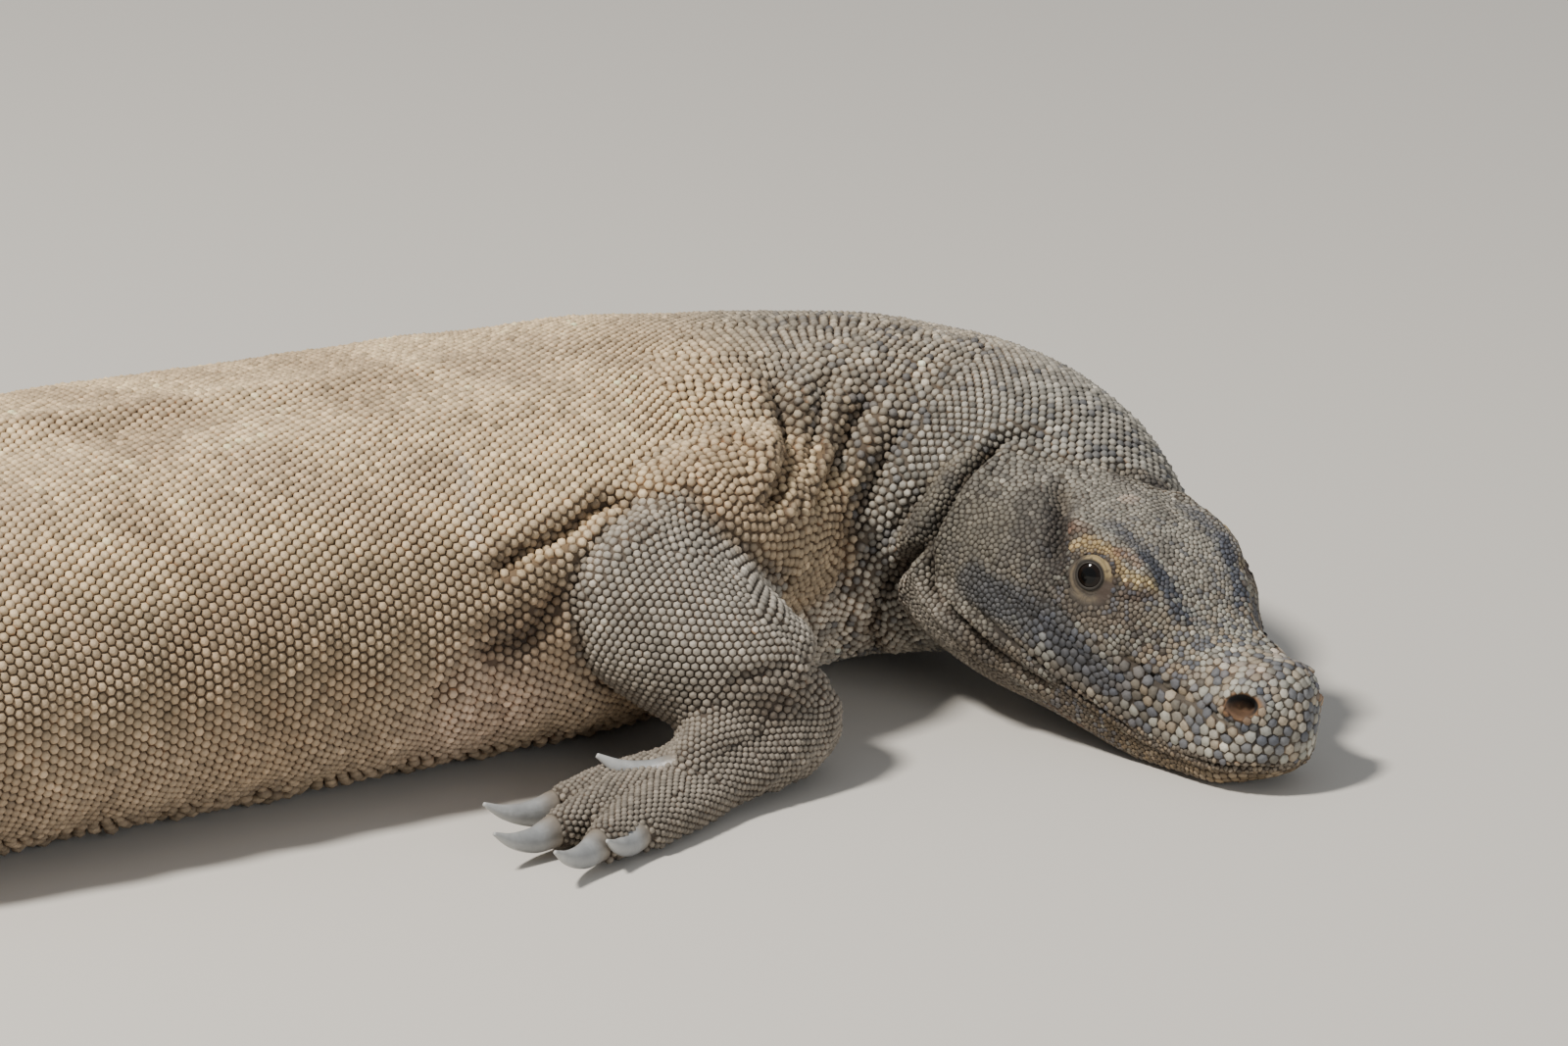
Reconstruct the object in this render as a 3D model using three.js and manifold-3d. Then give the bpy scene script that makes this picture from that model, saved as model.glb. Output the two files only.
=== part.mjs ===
// Komodo dragon at rest, life size: chest and belly on the ground, the neck bent round to its right and the chin
// laid on the ground, the right hand folded back at the wrist.
// Millimetres, +Z up, +X along the body towards the head. The origin is on the ground under the middle of the
// model's box. Flesh is lofted from stations along each part's own line; parts meet with a thin gap.
import * as THREE from "three";
import { mergeVertices } from "three/addons/utils/BufferGeometryUtils.js";
import Module from "manifold-3d";

const wasm = await Module();
wasm.setup();

// Driving sizes
const gap = 0.6; // left between two parts that meet
const chestHeight = 140; // ground to the top of the shoulders, at rest
const trunkWidth = 272; // across the belly, spread on the ground
const snoutToEar = 184; // length of the head
const jowlWidth = 118; // across the jaw muscles
const eyeRadius = 8.6;
const frontClaw = 30; // longest claws, round the curve
const hindClaw = 27;

const headHeading = -49; // degrees from +X, seen from above
const headPitch = -15.5; // degrees, the snout below the nape
const headRoll = 1.5; // degrees, the right side raised
const snoutTip = [208.5, -92.5, 12.5]; // where the lips meet in front
const snoutLean = { from: 110, to: 20, by: 3 }; // how far back it starts and ends, and how far it goes

// ---------------------------------------------------------------- small maths
const radians = (degrees) => (degrees * Math.PI) / 180;
const add = (a, b, k = 1) => a.map((value, i) => value + k * b[i]);
const dot = (a, b) => a[0] * b[0] + a[1] * b[1] + a[2] * b[2];
const unit = (a) => a.map((value) => value / Math.hypot(...a));
const cross = (a, b) => [
  a[1] * b[2] - a[2] * b[1],
  a[2] * b[0] - a[0] * b[2],
  a[0] * b[1] - a[1] * b[0],
];

// Catmull-Rom value and slope of rows of numbers, at t counted in rows.
function along(rows, t) {
  const i = Math.min(rows.length - 2, Math.max(0, Math.floor(t)));
  const u = t - i;
  const [b, c] = [rows[i], rows[i + 1]];
  const a = rows[i - 1] ?? b.map((value, k) => 2 * value - c[k]);
  const d = rows[i + 2] ?? c.map((value, k) => 2 * value - b[k]);
  const value = b.map((_, k) => {
    const [m, n] = [(c[k] - a[k]) / 2, (d[k] - b[k]) / 2];
    return (
      b[k] * (1 + u * u * (2 * u - 3)) + c[k] * u * u * (3 - 2 * u) +
      m * u * (u - 1) ** 2 + n * u * u * (u - 1)
    );
  });
  const slope = b.map((_, k) => {
    const [m, n] = [(c[k] - a[k]) / 2, (d[k] - b[k]) / 2];
    return (
      6 * u * (1 - u) * (c[k] - b[k]) + m * (3 * u * u - 4 * u + 1) + n * (3 * u * u - 2 * u)
    );
  });
  return { value, slope };
}

// ---------------------------------------------------------------- lofts
// A closed tube of rings, each an array of points, from the first to the last.
function tube(rings) {
  const sides = rings[0].length;
  const points = rings.flat();
  const centre = (ring) => ring.reduce((sum, p) => add(sum, p, 1 / sides), [0, 0, 0]);
  points.push(centre(rings[0]), centre(rings.at(-1)));
  const index = [];
  for (let i = 0; i + 1 < rings.length; i++)
    for (let k = 0; k < sides; k++) {
      const [a, b] = [i * sides + k, i * sides + ((k + 1) % sides)];
      index.push(a, b, a + sides, b, b + sides, a + sides);
    }
  const [first, last] = [points.length - 2, points.length - 1];
  const end = (rings.length - 1) * sides;
  for (let k = 0; k < sides; k++) {
    index.push(first, (k + 1) % sides, k);
    index.push(last, end + k, end + ((k + 1) % sides));
  }
  return { points, index };
}

// One cross-section: w to each side, up and down from its middle, square 2 for an ellipse and more for a box.
function section(middle, side, above, [w, up, down], square, sides, floor) {
  const ring = [];
  for (let k = 0; k < sides; k++) {
    const angle = (2 * Math.PI * k) / sides;
    const [c, s] = [Math.cos(angle), Math.sin(angle)];
    const [x, y] = [c, s].map((v) => Math.sign(v) * Math.abs(v) ** (2 / square));
    const point = add(add(middle, side, x * w), above, y * (s > 0 ? up : down));
    point[2] = Math.max(point[2], floor);
    ring.push(point);
  }
  return ring;
}

// Rows are [x, y, z, w, up, down]. "from" and "to" count rows, and round ends close the tube like a fingertip.
function loft(rows, { from = 0, to = rows.length - 1, steps, sides, top = [0, 0, 1], square = 2.1, grow = 0,
  roundStart = 0, roundEnd = 0, floor = 0, shape }) {
  const stops = [];
  for (let i = 0; i <= steps; i++) stops.push({ t: from + ((to - from) * i) / steps, size: 1, shift: 0 });
  const round = (reach, stop, sign) =>
    [0.5, 0.87].map((s) => ({
      t: stop.t,
      size: Math.sqrt(1 - s * s),
      shift: sign * s * reach,
    }));
  if (roundStart) stops.unshift(...round(roundStart + grow, stops[0], -1).reverse());
  else stops[0].shift = -grow;
  if (roundEnd) stops.push(...round(roundEnd + grow, stops.at(-1), 1));
  else stops.at(-1).shift = grow;
  const rings = stops.map(({ t, size, shift }) => {
    const { value, slope } = along(rows, t);
    const ahead = unit(slope.slice(0, 3));
    const side = unit(cross(ahead, top));
    const above = cross(side, ahead);
    const middle = add(value.slice(0, 3), ahead, shift);
    const sizes = value.slice(3, 6).map((s) => Math.max(0.4, s * size + grow));
    const ring = section(middle, side, above, sizes, square, sides, floor - grow);
    return shape ? ring.map((point) => shape(point, t, { middle, side, above, sizes })) : ring;
  });
  return tube(rings);
}

// ---------------------------------------------------------------- solids
function solidOf({ points, index }) {
  const geometry = new THREE.BufferGeometry();
  geometry.setAttribute("position", new THREE.Float32BufferAttribute(points.flat(), 3));
  geometry.setIndex(index);
  const merged = mergeVertices(geometry, 1e-3);
  const solid = new wasm.Manifold(
    new wasm.Mesh({
      numProp: 3,
      vertProperties: merged.attributes.position.array,
      triVerts: new Uint32Array(merged.index.array),
    }),
  );
  if (solid.volume() >= 0) return solid;
  return solidOf({ points, index: index.slice().reverse() });
}

const joined = (solids) => solids.reduce((sum, solid) => sum.add(solid));
const without = (solid, cutters) => cutters.reduce((rest, cutter) => rest.subtract(cutter), solid);
const largest = (solid) => solid.decompose().sort((a, b) => b.volume() - a.volume())[0];
const slivers = 0.2; // facets flatter than this are merged after cutting

function meshOf(name, solid, material) {
  const data = largest(solid).asOriginal().simplify(slivers).getMesh();
  const points = new Float32Array(data.numVert * 3);
  for (let i = 0; i < data.numVert; i++) {
    const [x, y, z] = data.vertProperties.subarray(i * data.numProp, i * data.numProp + 3);
    points.set([x, y, z < slivers ? 0 : z], i * 3); // what lies on the ground lies flat on it
  }
  const geometry = new THREE.BufferGeometry();
  geometry.setAttribute("position", new THREE.BufferAttribute(points, 3));
  geometry.setIndex(new THREE.BufferAttribute(new Uint32Array(data.triVerts), 1));
  geometry.computeVertexNormals();
  const mesh = new THREE.Mesh(geometry, material);
  mesh.name = name;
  return mesh;
}

// ---------------------------------------------------------------- spine: neck, trunk and tail
const belly = trunkWidth / 2;
const back = chestHeight / 2;
const spine = [
  [118, 22, 56, 52, 46, 42], // inside the back of the head
  [94, 58, 66, 66, 60, 54],
  [66, 84, 69, 75, 65, 62],
  [28, 98, 70, 83, 68, 68],
  [-14, 94, back, 92, back - 1, back + 4],
  [-60, 76, back, 107, back + 2, back + 8], // shoulders
  [-115, 44, back, 0.93 * belly, back + 1, back + 8],
  [-195, -3, back, 0.94 * belly, back + 2, back + 10],
  [-290, -60, back, 0.97 * belly, back + 3, back + 10],
  [-400, -124, 68, 0.98 * belly, 71, 78],
  [-500, -172, 64, 116, 67, 74],
  [-580, -198, 60, 94, 64, 70], // hips
  [-655, -212, 57, 73, 60, 62],
  [-760, -218, 53, 54, 54, 54],
  [-905, -204, 47, 40, 47, 49],
  [-1065, -160, 40, 30, 39, 42],
  [-1235, -105, 32, 22, 31, 34],
  [-1405, -72, 24, 15.5, 23, 26],
  [-1565, -78, 17, 10.5, 16, 19],
  [-1715, -118, 10.5, 7, 10, 12],
  [-1840, -172, 6.5, 4.2, 5.5, 7],
];
const cuts = {
  neck: [0, 4.4],
  trunk_front: [4.4, 7.7],
  trunk_rear: [7.7, 11.8],
  tail_1: [11.8, 14],
  tail_2: [14, 16],
  tail_3: [16, 18],
  tail_4: [18, 20],
};
const lumbarRidge = { at: 8.2, reach: 1.6, height: 5, trough: 5, half: 24 };

// Over the loins the spine stands up as a low ridge between two shallow troughs.
function ridged(point, t, { middle, side, above, sizes }) {
  const across = dot(add(point, middle, -1), side);
  if (dot(add(point, middle, -1), above) < sizes[1] / 2) return point;
  const { at, reach, height, trough, half } = lumbarRidge;
  const share = Math.exp(-(((t - at) / reach) ** 2));
  const x = across / half;
  const lift = share * ((height + trough) * Math.exp(-3 * x * x) - trough * Math.exp(-0.5 * x * x));
  return add(point, above, lift);
}

function spineSolid(name) {
  const last = spine.length - 1;
  const slack = gap / 2 / 60; // in rows, which lie about 60 mm or more apart
  const [from, to] = cuts[name];
  return solidOf(
    loft(spine, {
      from: from === 0 ? 0 : from + slack,
      to: to === last ? last : to - slack,
      steps: Math.max(4, Math.round((to - from) * 1.8)),
      sides: 20,
      square: 2.25,
      roundEnd: to === last ? 7 : 0,
      shape: ridged,
    }),
  );
}

// ---------------------------------------------------------------- head
const [yaw, pitch, roll] = [headHeading, headPitch, headRoll].map(radians);
const forward = [Math.cos(pitch) * Math.cos(yaw), Math.cos(pitch) * Math.sin(yaw), Math.sin(pitch)];
const level = unit(cross(forward, [0, 0, 1])); // towards the animal's right
const rightwards = add(level.map((v) => v * Math.cos(roll)), cross(level, forward), Math.sin(roll));
const upwards = cross(rightwards, forward);
// A place in the head: back from the snout tip, out to the right, up from the line of the lips.
// The snout leans a little to the right.
function inHead(behind, right, up) {
  const x = Math.min(1, Math.max(0, (snoutLean.from - behind) / (snoutLean.from - snoutLean.to)));
  const lean = snoutLean.by * x * x * (3 - 2 * x);
  return add(add(add(snoutTip, forward, -behind), rightwards, right + lean), upwards, up);
}

const jowl = jowlWidth / 2;
const ear = snoutToEar;
// Back from the snout tip, half width, then top and bottom from the line of the lips
const headRows = [
  [11.5, 11.5, 12, 7.5],
  [15, 17, 20, 13.5],
  [22, 22.5, 28, 17.5],
  [32, 26.5, 31, 24],
  [46, 27.5, 27.5, 30],
  [66, 31.5, 30, 35],
  [86, 38.5, 43, 38],
  [106, 45, 51, 40],
  [126, 50, 52, 43],
  [0.8 * ear, 0.95 * jowl, 51, 46],
  [0.91 * ear, jowl, 51, 46],
  [ear, 0.98 * jowl, 52, 45],
  [ear + 18, 0.86 * jowl, 51, 40],
].map(([behind, ...sizes]) => [...inHead(behind, 0, 0), ...sizes]);

const headSquare = 2.4;
const brow = { at: 6.3, reach: 1.1, out: 0.17, up: 0.06 };
const jaw = { square: 4.4, front: 3.5, back: 9 };

function smooth(low, high, value) {
  const x = Math.min(1, Math.max(0, (value - low) / (high - low)));
  return x * x * (3 - 2 * x);
}

// The lower jaw is square in section, the throat narrower, and a brow stands out over each eye.
function cheeked(point, t, { middle, side, above, sizes }) {
  const across = dot(add(point, middle, -1), side);
  const high = dot(add(point, middle, -1), above);
  if (high < 0) {
    const low = Math.min(0.985, -high / sizes[2]);
    const squared = smooth(jaw.back, jaw.front, t) * (0.1 + 0.9 * smooth(0.5, 4, t));
    const wider = (1 - low ** jaw.square) ** (1 / jaw.square) / (1 - low ** headSquare) ** (1 / headSquare);
    return add(point, side, (squared * (wider - 1) - (0.2 - 0.14 * squared) * low ** 2) * across);
  }
  const share = Math.exp(-(((t - brow.at) / brow.reach) ** 2));
  const corner = Math.min(1, 1.5 * Math.abs(across / sizes[0]) * (high / sizes[1]));
  const wider = add(point, side, share * corner * brow.out * across);
  return add(wider, above, share * corner * brow.up * high);
}

const headShape = (grow = 0) =>
  solidOf(
    loft(headRows, {
      steps: 15,
      sides: 20,
      top: upwards,
      square: headSquare,
      grow,
      roundStart: 3,
      roundEnd: 12,
      shape: cheeked,
    }),
  );

function ball(radius, centre, across = 10) {
  const geometry = new THREE.SphereGeometry(radius, across, Math.round(across * 0.65));
  geometry.deleteAttribute("normal");
  geometry.deleteAttribute("uv");
  const merged = mergeVertices(geometry.translate(...centre), 1e-3);
  const at = merged.attributes.position;
  const points = Array.from({ length: at.count }, (_, i) => [at.getX(i), at.getY(i), at.getZ(i)]);
  return solidOf({ points, index: Array.from(merged.index.array) });
}

const eyeAt = (side) => inHead(109.8, side * 31.6, 33.9);
const nostrilAt = (side) => inHead(30, side * 25, 19);

// ---------------------------------------------------------------- legs
// The right hand is folded back on itself at the wrist, the palm up. Rows are [x, y, z, w, up, down].
const foldedHand = {
  palm: [
    [2, -60, 29, 23, 25, 28],
    [-5, -72, 22, 24, 20, 22],
    [-24, -92, 15, 23, 15, 16],
    [-38, -108, 13, 21, 12, 14],
  ],
  digits: [
    [[-14, -78, 35, 13, 13, 13], [-27, -98, 27, 12, 12, 12], [-38, -113, 18, 10, 9.5, 9.5]],
    [[-46, -98, 12, 11, 11, 12], [-66, -112, 12, 10, 10, 11], [-86, -126, 9, 8.5, 8.5, 9]],
    [[-42, -107, 11, 11, 11, 12], [-64, -130, 12, 10, 10, 11], [-86, -154, 9, 8.5, 8.5, 9]],
    [[-36, -114, 11, 11, 11, 12], [-52, -140, 12, 10, 10, 11], [-69, -170, 9, 8.5, 8.5, 9]],
    [[-27, -112, 11, 10.5, 10, 11], [-40, -134, 10, 9.5, 9, 10], [-54, -156, 8.5, 8, 8, 9]],
  ],
  claws: [
    { heading: 184, length: frontClaw, rise: 8 },
    { heading: 212, length: frontClaw, rise: 7 },
    { heading: 226, length: frontClaw, rise: 7 },
    { heading: 240, length: frontClaw, rise: 7 },
    { heading: 244, length: 0.85 * frontClaw, rise: 6 },
  ],
};

// A foot planted flat. Digits fan out from the knuckles, the first on the side of the body.
const frontFoot = { palm: 42, half: 27, spread: [42, 20, 4, -12, -34], reach: [30, 44, 50, 48, 34] };
const hindFoot = { palm: 62, half: 27, spread: [34, 18, 5, -8, -46], reach: [30, 44, 58, 64, 40] };

function plantedFoot({ palm, half, spread, reach }, ankle, heading, side, claw) {
  const turned = (degrees) => [Math.cos(radians(degrees)), Math.sin(radians(degrees)), 0];
  const ahead = turned(heading);
  const inward = [-side * ahead[1], side * ahead[0], 0];
  const knuckles = add(ankle, ahead, palm);
  const at = (point, z, w, up, down) => [point[0], point[1], z, w, up, down];
  const palmRows = [
    at(add(ankle, ahead, -6), ankle[2], 23, 23, 26),
    at(add(ankle, ahead, 0.4 * palm), 19, 0.92 * half, 16, 20),
    at(add(ankle, ahead, 0.75 * palm), 14, half, 12, 15),
    at(add(ankle, ahead, palm), 12, 0.94 * half, 10, 13),
  ];
  const digits = spread.map((angle, i) => {
    const way = turned(heading + side * angle);
    const setBack = i === 4 && palm > 50 ? 0.45 * palm : Math.abs(i - 2) * 3;
    const root = add(add(knuckles, inward, (2 - i) * 0.42 * half), ahead, -4 - setBack);
    return [
      at(root, 12, 10.5, 10, 12.5),
      at(add(root, way, 0.5 * reach[i]), 13, 9.5, 9.5, 12),
      at(add(root, way, reach[i]), 8.5, 8, 8, 9),
    ];
  });
  const claws = spread.map((angle, i) => ({
    heading: heading + side * angle,
    length: claw * [0.85, 1, 1, 0.95, 0.8][i],
    rise: -6.5,
  }));
  return { palm: palmRows, digits, claws };
}

// A claw leaves the tip of its digit and curves up or down to a point.
function clawRows(digit, { heading, length, rise }) {
  const [x, y, z, w] = digit.at(-1);
  const [dx, dy] = [Math.cos(radians(heading)), Math.sin(radians(heading))];
  const bow = rise > 0 ? -2.2 : 2.6;
  const row = (share, lift, size) => [
    x + dx * (share * length + 0.4 * w),
    y + dy * (share * length + 0.4 * w),
    z + lift,
    0.74 * size * w,
    0.95 * size * w,
    0.85 * size * w,
  ];
  return [
    row(-0.05, 0, 0.9),
    row(0.3, 0.18 * rise + bow, 0.7),
    row(0.68, 0.5 * rise + 0.8 * bow, 0.42),
    row(1, rise, 0.12),
  ];
}

const legs = {
  right_front: {
    upper: [
      [-6, 34, 76, 38, 42, 42],
      [-30, -10, 82, 40, 42, 42],
      [-54, -44, 82, 37, 37, 38],
    ],
    lower: [
      [-61, -50, 78, 39, 37, 38],
      [-46, -60, 66, 38, 35, 36],
      [-24, -66, 50, 35, 32, 33],
      [-4, -64, 37, 29, 27, 28],
    ],
    foot: foldedHand,
  },
  left_front: {
    upper: [
      [-50, 130, 84, 36, 38, 38],
      [-78, 168, 78, 37, 36, 38],
      [-106, 206, 70, 34, 33, 36],
    ],
    lower: [
      [-108, 212, 66, 34, 32, 36],
      [-76, 232, 54, 33, 30, 33],
      [-44, 250, 40, 28, 26, 28],
      [-20, 260, 31, 24, 23, 25],
    ],
    foot: plantedFoot(frontFoot, [-14, 262, 28], 14, -1, frontClaw),
  },
  right_hind: {
    upper: [
      [-560, -226, 62, 46, 44, 46],
      [-530, -290, 66, 44, 42, 44],
      [-496, -340, 64, 38, 36, 38],
    ],
    lower: [
      [-494, -346, 60, 38, 35, 38],
      [-532, -372, 50, 36, 33, 36],
      [-574, -392, 38, 29, 28, 30],
      [-596, -400, 32, 26, 25, 27],
    ],
    foot: plantedFoot(hindFoot, [-594, -408, 30], -34, 1, hindClaw),
  },
  left_hind: {
    upper: [
      [-580, -158, 62, 46, 44, 46],
      [-566, -84, 66, 44, 42, 44],
      [-544, -24, 64, 38, 36, 38],
    ],
    lower: [
      [-544, -18, 60, 38, 35, 38],
      [-588, -2, 50, 36, 33, 36],
      [-634, 10, 38, 29, 28, 30],
      [-656, 16, 32, 26, 25, 27],
    ],
    foot: plantedFoot(hindFoot, [-656, 24, 30], 22, -1, hindClaw),
  },
};

function legSolids({ upper, lower, foot }, grow = 0) {
  const part = (rows, options) => solidOf(loft(rows, { grow, ...options }));
  const digits = foot.digits.map((rows) =>
    part(rows, { steps: 3, sides: 6, roundStart: 4, roundEnd: 4.5 }),
  );
  return {
    upper: part(upper, { steps: 4, sides: 12, roundStart: 10, roundEnd: 15 }),
    lower: part(lower, { steps: 4, sides: 12, roundStart: 14, roundEnd: 9 }),
    foot: joined([part(foot.palm, { steps: 3, sides: 11, roundStart: 13, roundEnd: 5 }), ...digits]),
    claws: foot.digits.map((rows, i) =>
      part(clawRows(rows, foot.claws[i]), { steps: 3, sides: 6 }),
    ),
  };
}

// ---------------------------------------------------------------- the animal
const materials = Object.fromEntries(
  Object.entries({ hide: 0x9a8b73, head_hide: 0x7d7669, claw: 0x8f959b, eye: 0x17120f }).map(
    ([name, color]) => [
      name,
      new THREE.MeshStandardMaterial({ name, color, roughness: name === "eye" ? 0.1 : 0.8 }),
    ],
  ),
);

const parts = []; // [name, solid, material name]
const keep = (name, solid, finish = "hide") => parts.push([name, solid, finish]);

const grownLegs = [];
for (const [name, leg] of Object.entries(legs)) {
  const bare = legSolids(leg);
  const grown = legSolids(leg, gap);
  const front = name.endsWith("front");
  keep(name + "_upper", without(bare.upper, [grown.lower, grown.foot]));
  keep(name + "_lower", without(bare.lower, [grown.foot]));
  keep(name + (front ? "_hand" : "_foot"), without(bare.foot, grown.claws));
  bare.claws.forEach((claw, i) => keep(`${name}_claw_${i + 1}`, claw, "claw"));
  grownLegs.push(grown.upper, grown.lower, grown.foot);
}

const sides = Object.entries({ right: 1, left: -1 });
const sockets = sides.map(([, side]) => ball(eyeRadius + gap, eyeAt(side)));
const nostrils = sides.map(([, side]) => ball(4.5, nostrilAt(side), 7));
keep("head", without(headShape(), [...sockets, ...nostrils]), "head_hide");
for (const [name, side] of sides) keep(name + "_eye", ball(eyeRadius, eyeAt(side)), "eye");

for (const name of Object.keys(cuts)) {
  const cutters = name === "neck" ? [headShape(gap), ...grownLegs] : grownLegs;
  keep(name, without(spineSolid(name), cutters));
}

const dragon = new THREE.Group();
dragon.name = "komodo_dragon";
for (const [name, solid, finish] of parts) dragon.add(meshOf(name, solid, materials[finish]));

const box = new THREE.Box3().setFromObject(dragon);
const middle = box.getCenter(new THREE.Vector3());
for (const mesh of dragon.children) mesh.geometry.translate(-middle.x, -middle.y, -box.min.z);

export default dragon;
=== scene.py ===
import itertools
import math
import bpy
import bmesh
import numpy as np
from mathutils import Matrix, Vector
from mathutils.bvhtree import BVHTree
from mathutils.kdtree import KDTree


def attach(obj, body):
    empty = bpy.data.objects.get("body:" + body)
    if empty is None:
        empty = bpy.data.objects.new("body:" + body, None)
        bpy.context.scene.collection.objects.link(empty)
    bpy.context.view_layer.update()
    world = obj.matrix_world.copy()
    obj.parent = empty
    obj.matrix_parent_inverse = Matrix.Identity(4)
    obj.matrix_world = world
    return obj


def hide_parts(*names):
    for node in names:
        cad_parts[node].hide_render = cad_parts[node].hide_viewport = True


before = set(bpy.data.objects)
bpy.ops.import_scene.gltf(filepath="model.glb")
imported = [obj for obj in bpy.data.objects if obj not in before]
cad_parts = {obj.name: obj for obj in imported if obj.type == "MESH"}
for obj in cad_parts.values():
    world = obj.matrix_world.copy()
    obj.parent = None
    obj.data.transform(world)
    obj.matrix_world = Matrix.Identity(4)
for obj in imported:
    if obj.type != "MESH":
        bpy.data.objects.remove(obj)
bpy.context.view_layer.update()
print("frame loaded")

# All shapes below are in millimetres, in the frame the body is drawn in; this moves them to the row's.
origin = np.array([817.727, 86.5, 0.0])


def smooth(low, high, value):
    x = np.clip((value - low) / (high - low), 0, 1)
    return x * x * (3 - 2 * x)


def hump(value, middle, width):
    return np.exp(-(((value - middle) / width) ** 2))


def unit(v):
    return v / np.maximum(np.linalg.norm(v, axis=-1, keepdims=True), 1e-9)


# Mesh and material helpers
# Faces are arrays of vertex numbers, one array for each number of corners
def meshObject(name, points, faces, toRow=True):
    mesh = bpy.data.meshes.new(name)
    coords = (points + origin) / 1000 if toRow else points
    mesh.vertices.add(len(coords))
    mesh.vertices.foreach_set("co", np.ascontiguousarray(coords, dtype=np.float32).ravel())
    loops = np.concatenate([f.ravel() for f in faces])
    sizes = np.concatenate([np.full(len(f), f.shape[1]) for f in faces])
    mesh.loops.add(len(loops))
    mesh.loops.foreach_set("vertex_index", loops.astype(np.int32))
    mesh.polygons.add(len(sizes))
    starts = np.concatenate([[0], np.cumsum(sizes)[:-1]])
    mesh.polygons.foreach_set("loop_start", starts.astype(np.int32))
    mesh.update(calc_edges=True)
    mesh.shade_smooth()
    thing = bpy.data.objects.new(name, mesh)
    bpy.context.scene.collection.objects.link(thing)
    return thing


def addColour(mesh, name, values):
    layer = mesh.color_attributes.new(name, "FLOAT_COLOR", "POINT")
    rgba = np.ones((len(values), 4), dtype=np.float32)
    rgba[:, :3] = values
    layer.data.foreach_set("color", rgba.ravel())


def addNumber(mesh, name, values):
    layer = mesh.attributes.new(name, "FLOAT", "POINT")
    layer.data.foreach_set("value", np.ascontiguousarray(values, dtype=np.float32))


def addUv(mesh, values):
    layer = mesh.uv_layers.new(name="OFBake")
    layer.data.foreach_set("uv", np.ascontiguousarray(values, dtype=np.float32).ravel())


# A socket with arithmetic
class Wire:
    def __init__(self, graph, socket):
        self.graph, self.socket = graph, socket

    def isNumber(self):
        return self.socket.type in ("VALUE", "INT")

    def __add__(self, other):
        return self.graph.maths("ADD", self, other)

    def __radd__(self, other):
        return self.graph.maths("ADD", other, self)

    def __sub__(self, other):
        return self.graph.maths("SUBTRACT", self, other)

    def __rsub__(self, other):
        return self.graph.maths("SUBTRACT", other, self)

    def __mul__(self, other):
        return self.graph.maths("MULTIPLY", self, other)

    def __rmul__(self, other):
        return self.graph.maths("MULTIPLY", other, self)


# The nodes of one material
class Graph:
    def __init__(self, name):
        self.material = bpy.data.materials.new(name)
        self.material.use_nodes = True
        self.nodes = self.material.node_tree.nodes
        self.links = self.material.node_tree.links
        self.nodes.clear()

    def node(self, kind, settings=None, **values):
        made = self.nodes.new(kind)
        for key, value in (settings or {}).items():
            setattr(made, key, value)
        for key, value in values.items():
            self.feed(made.inputs[key.replace("_", " ")], value)
        return Outputs(self, made)

    def feed(self, socket, value):
        if isinstance(value, Wire):
            self.links.new(value.socket, socket)
        elif isinstance(value, (tuple, list)) and socket.type == "RGBA" and len(value) == 3:
            socket.default_value = (*value, 1)
        else:
            socket.default_value = value

    def maths(self, kind, first, second):
        pair = (first, second)
        plain = all(v.isNumber() if isinstance(v, Wire) else isinstance(v, (int, float)) for v in pair)
        made = self.node("ShaderNodeMath" if plain else "ShaderNodeVectorMath", {"operation": kind}).made
        for socket, value in zip(made.inputs, pair):
            self.feed(socket, value)
        return Wire(self, made.outputs[0])

    def mix(self, factor, first, second):
        made = self.node("ShaderNodeMix", {"data_type": "RGBA"}).made
        for socket, value in ((0, factor), (6, first), (7, second)):  # 6 and 7 are the colours
            self.feed(made.inputs[socket], value)
        return Wire(self, made.outputs[2])

    def attribute(self, name, output="Fac"):
        return self.node("ShaderNodeAttribute", {"attribute_name": name})[output]

    def noise(self, place, scale, detail=3, roughness=0.55):
        made = self.node(
            "ShaderNodeTexNoise", {}, Vector=place, Scale=scale, Detail=detail, Roughness=roughness
        )
        return made["Fac"]

    def place(self):
        return self.node("ShaderNodeTexCoord")["Object"]

    def ramp(self, value, low, high):
        made = self.node(
            "ShaderNodeMapRange",
            {"interpolation_type": "SMOOTHSTEP"},
            Value=value,
            From_Min=low,
            From_Max=high,
        )
        return made["Result"]

    def finish(self, colour, roughness, bump=None, **extra):
        if bump is not None:
            height, distance = bump
            made = self.node("ShaderNodeBump", {}, Height=height, Distance=distance, Strength=1.0)
            extra["Normal"] = made["Normal"]
        surface = self.node("ShaderNodeBsdfPrincipled", {}, Base_Color=colour, Roughness=roughness, **extra)
        self.node("ShaderNodeOutputMaterial", {}, Surface=surface["BSDF"])
        return self.material


# The outputs of a node, by name
class Outputs:
    def __init__(self, graph, node):
        self.graph, self.made = graph, node

    def __getitem__(self, name):
        return Wire(self.graph, self.made.outputs[name])


# Lofts
def along(rows, t):
    i = np.clip(np.floor(t).astype(int), 0, len(rows) - 2)
    u = (t - i)[:, None]
    b, c = rows[i], rows[i + 1]
    a = np.where((i > 0)[:, None], rows[np.maximum(i - 1, 0)], 2 * b - c)
    d = np.where((i + 2 < len(rows))[:, None], rows[np.minimum(i + 2, len(rows) - 1)], 2 * c - b)
    m, n = (c - a) / 2, (d - b) / 2
    value = (
        b * (1 + u * u * (2 * u - 3)) + c * u * u * (3 - 2 * u) + m * u * (u - 1) ** 2 + n * u * u * (u - 1)
    )
    slope = 6 * u * (1 - u) * (c - b) + m * (3 * u * u - 4 * u + 1) + n * (3 * u * u - 2 * u)
    return value, slope


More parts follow.
